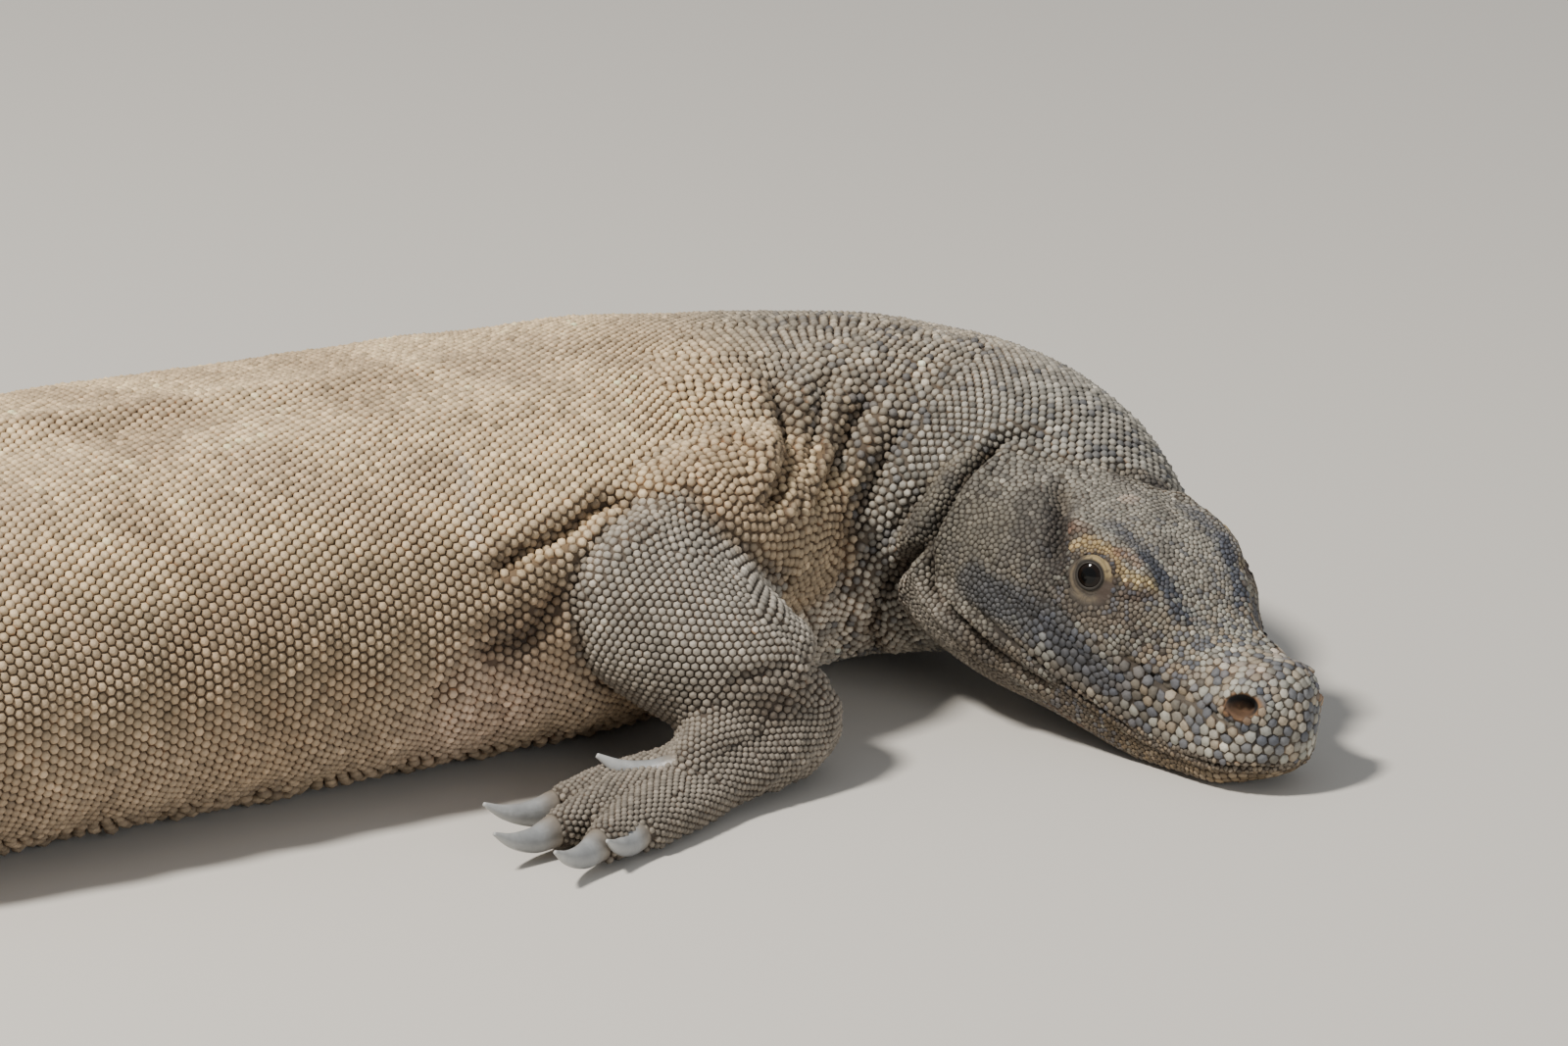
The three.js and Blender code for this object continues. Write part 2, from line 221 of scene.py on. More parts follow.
# The quads between rings of points, then a fan at each end round one of the two points that follow
def tubeFaces(rings, sides):
    grid = np.arange(rings * sides).reshape(rings, sides)
    turned = np.roll(grid, -1, axis=1)
    quads = np.stack([grid[:-1], turned[:-1], turned[1:], grid[1:]], axis=-1).reshape(-1, 4)
    end = np.full(sides, rings * sides)
    fans = [
        np.stack([end, turned[0], grid[0]], axis=-1),
        np.stack([end + 1, grid[-1], turned[-1]], axis=-1),
    ]
    return quads, np.concatenate(fans)


# A tube through rows of x, y, z, half width, up and down
class Loft:
    def __init__(self, rows, top=(0, 0, 1), square=2.1, roundStart=0, roundEnd=0, shape=None, inset=1.0):
        self.rows = np.array(rows, dtype=float)
        self.top = np.array(top, dtype=float)
        self.square, self.shape, self.inset = square, shape, inset
        self.roundStart, self.roundEnd = roundStart, roundEnd

    def surface(self, t, angle, size=1.0, shift=0.0, floor=0.5, swell=0.0):
        value, slope = along(self.rows, t)
        ahead = unit(slope[:, :3])
        side = unit(np.cross(ahead, self.top))
        above = np.cross(side, ahead)
        middle = value[:, :3] + ahead * np.reshape(shift, (-1, 1))
        sizes = np.maximum(0.4, value[:, 3:] * np.reshape(size, (-1, 1)) - self.inset + swell)
        c, s = np.cos(angle), np.sin(angle)
        x = np.sign(c) * np.abs(c) ** (2 / self.square) * sizes[:, 0]
        y = np.sign(s) * np.abs(s) ** (2 / self.square) * np.where(s > 0, sizes[:, 1], sizes[:, 2])
        points = middle + side * x[:, None] + above * y[:, None]
        points[:, 2] = np.maximum(points[:, 2], floor)
        if self.shape:
            points = self.shape(points, t, middle, side, above, sizes)
            points[:, 2] = np.maximum(points[:, 2], floor)
        return points

    def length(self):
        t = np.linspace(0, len(self.rows) - 1, 60 * len(self.rows))
        value, _ = along(self.rows, t)
        run = np.concatenate([[0], np.cumsum(np.linalg.norm(np.diff(value[:, :3], axis=0), axis=1))])
        return t, run

    def tube(self, step, sides):
        t, run = self.length()
        count = max(4, int(round(run[-1] / step)))
        stops = np.interp(np.linspace(0, run[-1], count + 1), run, t)
        size = np.ones(len(stops))
        shift = np.zeros(len(stops))
        caps = np.sin(np.linspace(0, math.pi / 2, 7)[1:-1])
        if self.roundStart:
            reach = max(self.roundStart - self.inset, 1)
            stops = np.concatenate([np.full(len(caps), stops[0]), stops])
            size = np.concatenate([np.sqrt(1 - caps[::-1] ** 2), size])
            shift = np.concatenate([-caps[::-1] * reach, shift])
        if self.roundEnd:
            reach = max(self.roundEnd - self.inset, 1)
            stops = np.concatenate([stops, np.full(len(caps), stops[-1])])
            size = np.concatenate([size, np.sqrt(1 - caps**2)])
            shift = np.concatenate([shift, caps * reach])
        angle = 2 * math.pi * np.arange(sides) / sides - math.pi / 2
        rings = len(stops)
        points = self.surface(
            np.repeat(stops, sides), np.tile(angle, rings), np.repeat(size, sides), np.repeat(shift, sides)
        )
        points = np.concatenate([points, [points[:sides].mean(0), points[-sides:].mean(0)]])
        return points, *tubeFaces(rings, sides), stops


# The body's own lines
spineRows = [
    [118, 22, 56, 52, 46, 42],
    [94, 58, 66, 66, 60, 54],
    [66, 84, 69, 75, 65, 62],
    [28, 98, 70, 83, 68, 68],
    [-14, 94, 70, 92, 69, 74],
    [-60, 76, 70, 107, 72, 78],
    [-115, 44, 70, 126.5, 71, 78],
    [-195, -3, 70, 127.8, 72, 80],
    [-290, -60, 70, 131.9, 73, 80],
    [-400, -124, 68, 133.3, 71, 78],
    [-500, -172, 64, 116, 67, 74],
    [-580, -198, 60, 94, 64, 70],
    [-655, -212, 57, 73, 60, 62],
    [-760, -218, 53, 54, 54, 54],
    [-905, -204, 47, 40, 47, 49],
    [-1065, -160, 40, 30, 39, 42],
    [-1235, -105, 32, 22, 31, 34],
    [-1405, -72, 24, 15.5, 23, 26],
    [-1565, -78, 17, 10.5, 16, 19],
    [-1715, -118, 10.5, 7, 10, 12],
    [-1840, -172, 6.5, 4.2, 5.5, 7],
]


def ridged(points, t, middle, side, above, sizes):
    across = ((points - middle) * side).sum(1)
    high = ((points - middle) * above).sum(1)
    share = hump(t, 8.2, 1.6) * smooth(0.4, 0.6, high / sizes[:, 1])
    x = across / 24
    lift = share * (10 * np.exp(-3 * x * x) - 5 * np.exp(-0.5 * x * x))
    return points + above * lift[:, None]


head = {
    "heading": -49,  # degrees
    "pitch": -15.5,
    "roll": 1.5,
    "snoutTip": (208.5, -92.5, 12.5),
    "eye": (109.8, 31.6, 33.9),  # behind the snout tip, out to the side, up from the lips
    "eyeRadius": 8.6,
    "nostril": (27.8, 20, 18),
    "square": 2.4,
    "lean": (110, 20, 3),  # the snout leans right from, to and by
    "jaw": (4.4, 3.5, 9),  # how square it is, fully in front of one row and not behind another
}
yaw, pitch, roll = (math.radians(head[k]) for k in ("heading", "pitch", "roll"))
forward = np.array([math.cos(pitch) * math.cos(yaw), math.cos(pitch) * math.sin(yaw), math.sin(pitch)])
levelWay = unit(np.cross(forward, [0, 0, 1]))
rightWay = levelWay * math.cos(roll) + np.cross(levelWay, forward) * math.sin(roll)
upWay = np.cross(rightWay, forward)
snoutTip = np.array(head["snoutTip"])


def lean(behind):
    first, last, by = head["lean"]
    return by * smooth(first, last, behind)


def inHead(behind, right, up):
    return snoutTip - forward * behind + rightWay * (right + lean(behind)) + upWay * up


# Behind the snout tip, to the right and above the lips
def headPlace(points):
    away = points - snoutTip
    behind = -away @ forward
    return behind, away @ rightWay - lean(behind), away @ upWay


headRows = [
    [11.5, 11.5, 12, 7.5],
    [15, 17, 20, 13.5],
    [22, 22.5, 28, 17.5],
    [32, 26.5, 31, 24],
    [46, 27.5, 27.5, 30],
    [66, 31.5, 30, 35],
    [86, 38.5, 43, 38],
    [106, 45, 51, 40],
    [126, 50, 52, 43],
    [147.2, 56, 51, 46],
    [167.4, 59, 51, 46],
    [184, 57.8, 52, 45],
    [202, 50.7, 51, 40],
]
headRows = [[*inHead(row[0], 0, 0), *row[1:]] for row in headRows]


def cheeked(points, t, middle, side, above, sizes):
    across = ((points - middle) * side).sum(1)
    high = ((points - middle) * above).sum(1)
    square, front, back = head["jaw"]
    low = np.clip(-high / sizes[:, 2], 0, 0.985)
    squared = smooth(back, front, t) * (0.1 + 0.9 * smooth(0.5, 4, t))
    wider = (1 - low**square) ** (1 / square) / (1 - low ** head["square"]) ** (1 / head["square"])
    under = squared * (wider - 1) - (0.2 - 0.14 * squared) * low**2
    corner = np.clip(1.5 * np.abs(across / sizes[:, 0]) * (high / sizes[:, 1]), 0, 1)
    share = hump(t, 6.3, 1.1) * corner
    out = np.where(high < 0, under, 0.17 * share) * across
    return points + side * out[:, None] + above * (share * 0.06 * high)[:, None]


# Legs
foldedHand = {
    "palm": [
        [2, -60, 29, 23, 25, 28],
        [-5, -72, 22, 24, 20, 22],
        [-24, -92, 15, 23, 15, 16],
        [-38, -108, 13, 21, 12, 14],
    ],
    "digits": [
        [[-14, -78, 35, 13, 13, 13], [-27, -98, 27, 12, 12, 12], [-38, -113, 18, 10, 9.5, 9.5]],
        [[-46, -98, 12, 11, 11, 12], [-66, -112, 12, 10, 10, 11], [-86, -126, 9, 8.5, 8.5, 9]],
        [[-42, -107, 11, 11, 11, 12], [-64, -130, 12, 10, 10, 11], [-86, -154, 9, 8.5, 8.5, 9]],
        [[-36, -114, 11, 11, 11, 12], [-52, -140, 12, 10, 10, 11], [-69, -170, 9, 8.5, 8.5, 9]],
        [[-27, -112, 11, 10.5, 10, 11], [-40, -134, 10, 9.5, 9, 10], [-54, -156, 8.5, 8, 8, 9]],
    ],
    "claws": [(184, 30, 8), (212, 30, 7), (226, 30, 7), (240, 30, 7), (244, 25.5, 6)],
}
frontFoot = {"palm": 42, "half": 27, "spread": [42, 20, 4, -12, -34], "reach": [30, 44, 50, 48, 34]}
hindFoot = {"palm": 62, "half": 27, "spread": [34, 18, 5, -8, -46], "reach": [30, 44, 58, 64, 40]}


def plantedFoot(foot, ankle, heading, hand, claw):
    def turned(degrees):
        return np.array([math.cos(math.radians(degrees)), math.sin(math.radians(degrees)), 0])

    palm, half = foot["palm"], foot["half"]
    ankle = np.array(ankle, dtype=float)
    ahead = turned(heading)
    inward = np.array([-hand * ahead[1], hand * ahead[0], 0])
    knuckles = ankle + ahead * palm
    rows = [
        [*(ankle - ahead * 6)[:2], ankle[2], 23, 23, 26],
        [*(ankle + ahead * 0.4 * palm)[:2], 19, 0.92 * half, 16, 20],
        [*(ankle + ahead * 0.75 * palm)[:2], 14, half, 12, 15],
        [*(ankle + ahead * palm)[:2], 12, 0.94 * half, 10, 13],
    ]
    digits, claws = [], []
    for i, angle in enumerate(foot["spread"]):
        way = turned(heading + hand * angle)
        setBack = 0.45 * palm if i == 4 and palm > 50 else abs(i - 2) * 3
        root = knuckles + inward * (2 - i) * 0.42 * half - ahead * (4 + setBack)
        reach = foot["reach"][i]
        digits.append(
            [
                [*root[:2], 12, 10.5, 10, 12.5],
                [*(root + way * 0.5 * reach)[:2], 13, 9.5, 9.5, 12],
                [*(root + way * reach)[:2], 8.5, 8, 8, 9],
            ]
        )
        claws.append((heading + hand * angle, claw * [0.85, 1, 1, 0.95, 0.8][i], -6.5))
    return {"palm": rows, "digits": digits, "claws": claws}


def clawRows(digit, claw):
    heading, length, rise = claw
    x, y, z, w = digit[-1][:4]
    dx, dy = math.cos(math.radians(heading)), math.sin(math.radians(heading))
    bow = -2.2 if rise > 0 else 2.6

    def row(share, lift, size):
        out = share * length + 0.4 * w
        return [x + dx * out, y + dy * out, z + lift, 0.74 * size * w, 0.95 * size * w, 0.85 * size * w]

    return [
        row(-0.05, 0, 0.9),
        row(0.3, 0.18 * rise + bow, 0.7),
        row(0.68, 0.5 * rise + 0.8 * bow, 0.42),
        row(1, rise, 0.12),
    ]


legs = {
    "right_front": {
        "upper": [[-6, 34, 76, 38, 42, 42], [-30, -10, 82, 40, 42, 42], [-54, -44, 82, 37, 37, 38]],
        "lower": [[-61, -50, 78, 39, 37, 38], [-46, -60, 66, 38, 35, 36], [-24, -66, 50, 35, 32, 33],
            [-4, -64, 37, 29, 27, 28]],
        "foot": foldedHand,
    },
    "left_front": {
        "upper": [[-50, 130, 84, 36, 38, 38], [-78, 168, 78, 37, 36, 38], [-106, 206, 70, 34, 33, 36]],
        "lower": [[-108, 212, 66, 34, 32, 36], [-76, 232, 54, 33, 30, 33], [-44, 250, 40, 28, 26, 28],
            [-20, 260, 31, 24, 23, 25]],
        "foot": plantedFoot(frontFoot, (-14, 262, 28), 14, -1, 30),
    },
    "right_hind": {
        "upper": [[-560, -226, 62, 46, 44, 46], [-530, -290, 66, 44, 42, 44], [-496, -340, 64, 38, 36, 38]],
        "lower": [[-494, -346, 60, 38, 35, 38], [-532, -372, 50, 36, 33, 36], [-574, -392, 38, 29, 28, 30],
            [-596, -400, 32, 26, 25, 27]],
        "foot": plantedFoot(hindFoot, (-594, -408, 30), -34, 1, 27),
    },
    "left_hind": {
        "upper": [[-580, -158, 62, 46, 44, 46], [-566, -84, 66, 44, 42, 44], [-544, -24, 64, 38, 36, 38]],
        "lower": [[-544, -18, 60, 38, 35, 38], [-588, -2, 50, 36, 33, 36], [-634, 10, 38, 29, 28, 30],
            [-656, 16, 32, 26, 25, 27]],
        "foot": plantedFoot(hindFoot, (-656, 24, 30), 22, -1, 27),
    },
}

# Each shape: name, kind, loft, ring step, sides, place on the unwrap (x, y, width, height)
shapes = []


def addShape(name, kind, loft, step, sides, chart):
    shapes.append({"name": name, "kind": kind, "loft": loft, "step": step, "sides": sides, "chart": chart})


addShape("spine", "spine", Loft(spineRows, square=2.25, roundEnd=7, shape=ridged, inset=1.9), 4, 140,
    (0.01, 0.36, 0.61, 0.63))
addShape(
    "head",
    "head",
    Loft(headRows, top=upWay, square=head["square"], roundStart=3, roundEnd=12, shape=cheeked, inset=1.4),
    2,
    120,
    (0.65, 0.71, 0.34, 0.28),
)
blocks = {"right_front": (0.65, 0.36), "left_front": (0.83, 0.36), "right_hind": (0.65, 0.02),
    "left_hind": (0.83, 0.02)}
for legName, leg in legs.items():
    bx, by = blocks[legName]
    addShape(legName + "_upper", "upper", Loft(leg["upper"], roundStart=10, roundEnd=15, inset=1.7), 3, 64,
        (bx, by + 0.17, 0.075, 0.14))
    addShape(legName + "_lower", "lower", Loft(leg["lower"], roundStart=14, roundEnd=9, inset=1.5), 3, 64,
        (bx + 0.085, by + 0.17, 0.075, 0.14))
    addShape(legName + "_palm", "hand", Loft(leg["foot"]["palm"], roundStart=13, roundEnd=5, inset=1.2),
        2.5, 48, (bx, by + 0.06, 0.075, 0.1))
    for i, rows in enumerate(leg["foot"]["digits"]):
        addShape(
            f"{legName}_digit_{i + 1}", "digit", Loft(rows, roundStart=4, roundEnd=4.5, inset=0.9), 2, 24,
            (bx + i * 0.034, by, 0.028, 0.05)
        )

allPoints, allQuads, allCaps = [], [], []
quadShape, quadRing, quadSide = [], [], []
offset = 0
for number, entry in enumerate(shapes):
    points, quads, caps, stops = entry["loft"].tube(entry["step"], entry["sides"])
    sides = entry["sides"]
    rings = len(stops)
    entry["stops"] = stops
    allPoints.append(points)
    allQuads.append(quads + offset)
    allCaps.append(caps + offset)
    quadShape.append(np.full(len(quads), number))
    quadRing.append(np.repeat(np.arange(rings - 1), sides))
    quadSide.append(np.tile(np.arange(sides), rings - 1))
    offset += len(points)
fleshPoints = np.concatenate(allPoints)
fleshQuads = np.concatenate(allQuads)
fleshCaps = np.concatenate(allCaps)
quadShape, quadRing, quadSide = (np.concatenate(a) for a in (quadShape, quadRing, quadSide))
print("lofts", len(fleshQuads))

# The line of the mouth: behind the snout tip, out to the side, above the lips in front
mouthLine = np.array(
    [(9, 0, -4.2), (11, 7, -4.4), (15.5, 15.4, -4.8), (21.4, 19.5, -7), (27.8, 22.9, -8.9),
        (33.5, 24.8, -10.7), (42.7, 26, -13), (52.7, 27.3, -15), (63, 29, -16.8), (70.8, 30.8, -16.8),
        (78.9, 33.1, -15.5), (87.3, 35.7, -14.2), (95.6, 38.2, -12.8), (102.7, 41, -11),
        (111.5, 44.3, -8.4), (120.1, 47, -5.5), (127.9, 49.2, -3.2), (136.2, 51.8, -1)]
)

# One skin
skinLook = {
    "voxel": 2.7,  # mm
    "evening": 4,  # rounds of smoothing all over
    "fillets": 26,  # and then in the hollows
    "joining": 14,  # rounds that blend one shape's share of the skin into the next
}


def remeshed(points, faces, voxel):
    thing = meshObject("flesh_shapes", points, faces, toRow=False)
    modifier = thing.modifiers.new("one skin", "REMESH")
    modifier.mode = "VOXEL"
    modifier.voxel_size = voxel
    solved = thing.evaluated_get(bpy.context.evaluated_depsgraph_get()).to_mesh()
    coords = np.empty(len(solved.vertices) * 3, dtype=np.float32)
    solved.vertices.foreach_get("co", coords)
    corners = np.empty(len(solved.loops), dtype=np.int32)
    solved.loops.foreach_get("vertex_index", corners)
    made = coords.reshape(-1, 3).astype(float), corners.reshape(-1, 4)
    thing.to_mesh_clear()
    bpy.data.objects.remove(thing)
    return made


skin, skinFaces = remeshed(fleshPoints, [fleshQuads, fleshCaps], skinLook["voxel"])
print("remeshed", len(skin))


def largestPiece(points, faces):
    label = np.arange(len(points))
    while True:
        low = label[faces].min(1)
        new = label.copy()
        np.minimum.at(new, faces.ravel(), np.repeat(low, faces.shape[1]))
        new = new[new]
        if (new == label).all():
            break
        label = new
    kept = label == np.bincount(label).argmax()
    index = np.cumsum(kept) - 1
    return points[kept], index[faces[kept[faces].all(1)]]


skin, skinFaces = largestPiece(skin, skinFaces)


# Finer over the head, finest round the eyes, nostrils and lips
def refined(points, faces, rounds):
    mesh = bpy.data.meshes.new("refining")
    mesh.from_pydata(points.tolist(), [], faces.tolist())
    work = bmesh.new()
    work.from_mesh(mesh)
    for choose in rounds:
        work.verts.ensure_lookup_table()
        coords = np.array([v.co for v in work.verts])
        inside = choose(coords)
        edges = [e for e in work.edges if inside[e.verts[0].index] and inside[e.verts[1].index]]
        bmesh.ops.subdivide_edges(work, edges=edges, cuts=1, use_grid_fill=True, smooth=0.0)
        work.verts.index_update()
    bmesh.ops.triangulate(work, faces=[f for f in work.faces if len(f.verts) > 4])
    work.verts.index_update()
    made = np.array([v.co for v in work.verts])
    quads = np.array([[v.index for v in f.verts] for f in work.faces if len(f.verts) == 4])
    tris = np.array([[v.index for v in f.verts] for f in work.faces if len(f.verts) == 3]).reshape(-1, 3)
    work.free()
    bpy.data.meshes.remove(mesh)
    return made, quads, tris


def overHead(coords):
    b, r, u = headPlace(coords)
    return (b < 196) & (np.abs(r) < 72) & (u > -48)


def roundFeatures(coords):
    b, r, u = headPlace(coords)
    eye = np.hypot(b - head["eye"][0], u - head["eye"][2]) < 17
    nostril = np.hypot(b - head["nostril"][0], u - head["nostril"][2]) < 11
    mouth = (
        (b < 142) & (np.abs(u - np.interp(b, mouthLine[:, 0], mouthLine[:, 2])) < 3.6)
        & (np.abs(r) > 0.6 * np.interp(b, mouthLine[:, 0], mouthLine[:, 1]) - 6)
    )
    return (np.abs(r) > 12) & (eye & (np.abs(r) < 60) | nostril & (np.abs(r) < 40)) | mouth


def onLids(coords):
    b, r, u = headPlace(coords)
    eye = np.hypot(b - head["eye"][0], u - head["eye"][2]) < 11.5
    nostril = np.hypot(b - head["nostril"][0], u - head["nostril"][2]) < 8
    return (np.abs(r) > 12) & (eye & (np.abs(r) < 60) | nostril & (np.abs(r) < 40))


skin, skinQuads, skinTris = refined(skin, skinFaces, [overHead, roundFeatures, onLids])
print("refined", len(skin), len(skinQuads), len(skinTris))

corners = [(skinQuads, [(0, 1), (1, 2), (2, 3), (3, 0)]), (skinTris, [(0, 1), (1, 2), (2, 0)])]
edges = np.concatenate([f[:, list(pair)] for f, pairs in corners for pair in pairs if len(f)])
edges = np.unique(np.sort(edges, axis=1), axis=0)
degree = np.bincount(edges.ravel(), minlength=len(skin)).astype(float)


# The mean over each point's neighbours
def spread(values):
    values = values.reshape(len(values), -1)
    total = np.empty_like(values)
    for k in range(values.shape[1]):
        total[:, k] = np.bincount(edges[:, 0], values[edges[:, 1], k], len(values))
        total[:, k] += np.bincount(edges[:, 1], values[edges[:, 0], k], len(values))
    return total / degree[:, None]


def normalsOf(points):
    normals = np.zeros_like(points)
    for faces in (skinQuads, skinTris):
        if not len(faces):
            continue
        way = np.cross(points[faces[:, 2]] - points[faces[:, 0]],
            points[faces[:, -1]] - points[faces[:, 1]])
        for k in range(faces.shape[1]):
            for axis in range(3):
                normals[:, axis] += np.bincount(faces[:, k], way[:, axis], len(points))
    return unit(normals)


for _ in range(skinLook["evening"]):
    skin += 0.5 * (spread(skin) - skin)
grounded = skin[:, 2] < 1.2
for _ in range(skinLook["fillets"]):
    move = spread(skin) - skin
    hollow = (move * normalsOf(skin)).sum(1)
    weight = smooth(0.02, 0.12, hollow)
    weight[grounded] = 0
    skin += 0.7 * weight[:, None] * move
skin[:, 2] = np.maximum(skin[:, 2], 0.5)
print("smoothed")


# Which shape each point of the skin lies on
fleshTree = BVHTree.FromPolygons(fleshPoints.tolist(), fleshQuads.tolist())
shapeTrees = {}


# The shape that each point lies on, then how far along its rings and round its sides
def onShape(points, tree, quadNumbers=None):
    found = np.array([tree.find_nearest(p)[2] for p in points.tolist()])
    quad = found if quadNumbers is None else quadNumbers[found]
    a, b, c, d = (fleshPoints[fleshQuads[quad, k]] for k in range(4))
    sideways, run = b - a, d - a
    away = points - a
    v = np.clip((away * sideways).sum(1) / np.maximum((sideways**2).sum(1), 1e-9), 0, 1)
    u = np.clip((away * run).sum(1) / np.maximum((run**2).sum(1), 1e-9), 0, 1)
    return quadShape[quad], quadRing[quad] + u, quadSide[quad] + v


def shapeTree(number):
    if number not in shapeTrees:
        mine = np.flatnonzero(quadShape == number)
        used, local = np.unique(fleshQuads[mine], return_inverse=True)
        tree = BVHTree.FromPolygons(fleshPoints[used].tolist(), local.reshape(-1, 4).tolist())
        shapeTrees[number] = tree, mine
    return shapeTrees[number]


skinShape, skinRing, skinSide = onShape(skin, fleshTree)
kinds = ["spine", "head", "upper", "lower", "hand", "digit"]
kindOf = np.array([kinds.index(s["kind"]) for s in shapes])
share = np.eye(len(kinds))[kindOf[skinShape]]
for _ in range(skinLook["joining"]):
    share = 0.5 * share + 0.5 * spread(share)
onSpine, onHead, onUpper, onLower, onHand, onDigit = share.T
# Past the crease over the right elbow the skin is the forearm's
elbowCrease = np.array([(-40, -42, 106), (-59, -52, 109), (-76, -63, 107), (-94, -81, 100),
    (-113, -99, 88), (-124, -108, 76)], dtype=float)
pastCrease = np.zeros(len(skin))
nearest = np.full(len(skin), 60.0)
for a, c in zip(elbowCrease[:-1], elbowCrease[1:]):
    run = c - a
    part = np.clip((skin - a) @ run / (run @ run), 0, 1)
    away = skin - a - part[:, None] * run
    distance = np.linalg.norm(away, axis=1)
    closer = distance < nearest
    nearest[closer] = distance[closer]
    pastCrease[closer] = (away @ unit(np.array([0.35, -0.55, -0.75])))[closer]
pastChest = (skin - np.array([-20, 0, 98])) @ np.array([0.77, 0, 0.636])
forearm = (
    smooth(-1.0, 1.5, pastCrease) * smooth(4, -8, pastChest) * (nearest < 59)
    * np.clip(2.5 * (onUpper + onLower), 0, 1)
)
moved = onUpper * forearm
share[:, kinds.index("upper")] -= moved
share[:, kinds.index("lower")] += moved
# How far along the neck, trunk and tail, in rows
stops = shapes[0]["stops"]
row = np.where(skinShape == 0, np.interp(skinRing, np.arange(len(stops)), stops), 4.0)
print("placed on shapes")

# Folds and features
# Each line: depth, width, lip beside it, then its points
folds = {
    "shoulder": (7, 4.2, 2.4,
        [(-6, 53, 133), (-2, 37, 128), (0, 30, 122), (2, 21, 116), (3, -1, 112), (0, -16, 109),
            (-4, -32, 104), (-9, -42, 99)]),
    "neckUpper": (6, 4, 1.8,
        [(32, 50, 127), (32, 43, 122), (27, 35, 115), (24, 30, 108), (21, 20, 101), (16, 1, 96),
            (10, -15, 91)]),
    "neckLower": (5, 3.2, 1.4, [(26, 22, 91), (24, 12, 82), (23, 11, 70), (22, 16, 56), (22, 24, 44)]),
    "throatSide": (5, 3.4, 1.4, [(63, 2, 94), (58, -2, 82), (52, 2, 72), (46, 12, 60), (41, 22, 45)]),
    "throatLink": (3.6, 2.8, 1, [(58, 14, 98), (45, 16, 79), (33, 21, 63), (24, 22, 54)]),
    "shoulderLow": (4.5, 3.2, 1.4, [(14, 28, 114), (12, 11, 107), (10, -8, 102), (2, -29, 93)]),
    "shoulderTop": (3, 3.2, 1.2, [(-24, -3, 123), (-16, -16, 120), (-11, -24, 115)]),
    "neckMiddle": (4.6, 3.6, 1.5,
        [(19, 62, 133), (16, 44, 126), (12, 27, 114), (7, -4, 107), (-2, -31, 101), (-6, -39, 96)]),
    "neckFront": (5, 3.4, 1.6, [(51, 39, 120), (42, 29, 109), (35, 24, 94), (28, 22, 78), (23, 11, 69)]),
    "behindJaw": (5, 3.4, 1.6, [(53, 2, 74), (42, 18, 60), (37, 25, 43), (35, 38, 25), (38, 63, 9)]),
    "jowlThroat": (3, 3, 0.8, [(56, -6, 67), (60, -10, 56), (72, -19, 47), (89, -28, 34), (108, -38, 24)]),
    "gular": (2.2, 3, 0.6, [(46, 12, 58), (45, 23, 42), (49, 36, 26)]),
    "gularUpper": (2.2, 3, 0.6, [(56, -3, 77), (49, 5, 66), (41, 20, 52), (36, 28, 38)]),
    "elbow": (6.0, 3.4, 2.0,
        [(-59, -52, 109), (-68, -55, 109), (-76, -63, 107), (-85, -73, 102), (-94, -81, 100),
            (-102, -87, 98), (-110, -95, 94), (-113, -99, 88)]),
    "armpit": (5, 4.5, 1, [(-85, -82, 88), (-88, -85, 80), (-92, -90, 72), (-98, -93, 66), (-105, -97, 64),
        (-113, -102, 63), (-119, -106, 65)]),
    "armpitUpper": (2.5, 3.5, 0.8, [(-120, -107, 70), (-113, -102, 74), (-105, -97, 75), (-96, -90, 80)]),
    "chest": (3, 3.5, 0.6, [(-122, -106, 59), (-128, -108, 54), (-135, -112, 48)]),
    "chestA": (1.8, 2.6, 0.5, [(-123, -107, 59), (-120, -103, 48), (-119, -95, 36), (-119, -86, 25)]),
    "chestB": (1.8, 2.6, 0.5, [(-115, -102, 60), (-111, -97, 48), (-108, -88, 35), (-108, -78, 24)]),
    "chestC": (1.6, 2.6, 0.5, [(-107, -98, 60), (-102, -91, 46), (-99, -72, 24)]),
    "wrist": (3, 2.8, 0.8, [(-24, -100, 49), (-15, -98, 52), (-4, -93, 54), (4, -88, 52)]),
    "digitOne": (2, 2.4, 0.4, [(-24, -112, 25), (-15, -102, 27), (-4, -97, 28)]),
}
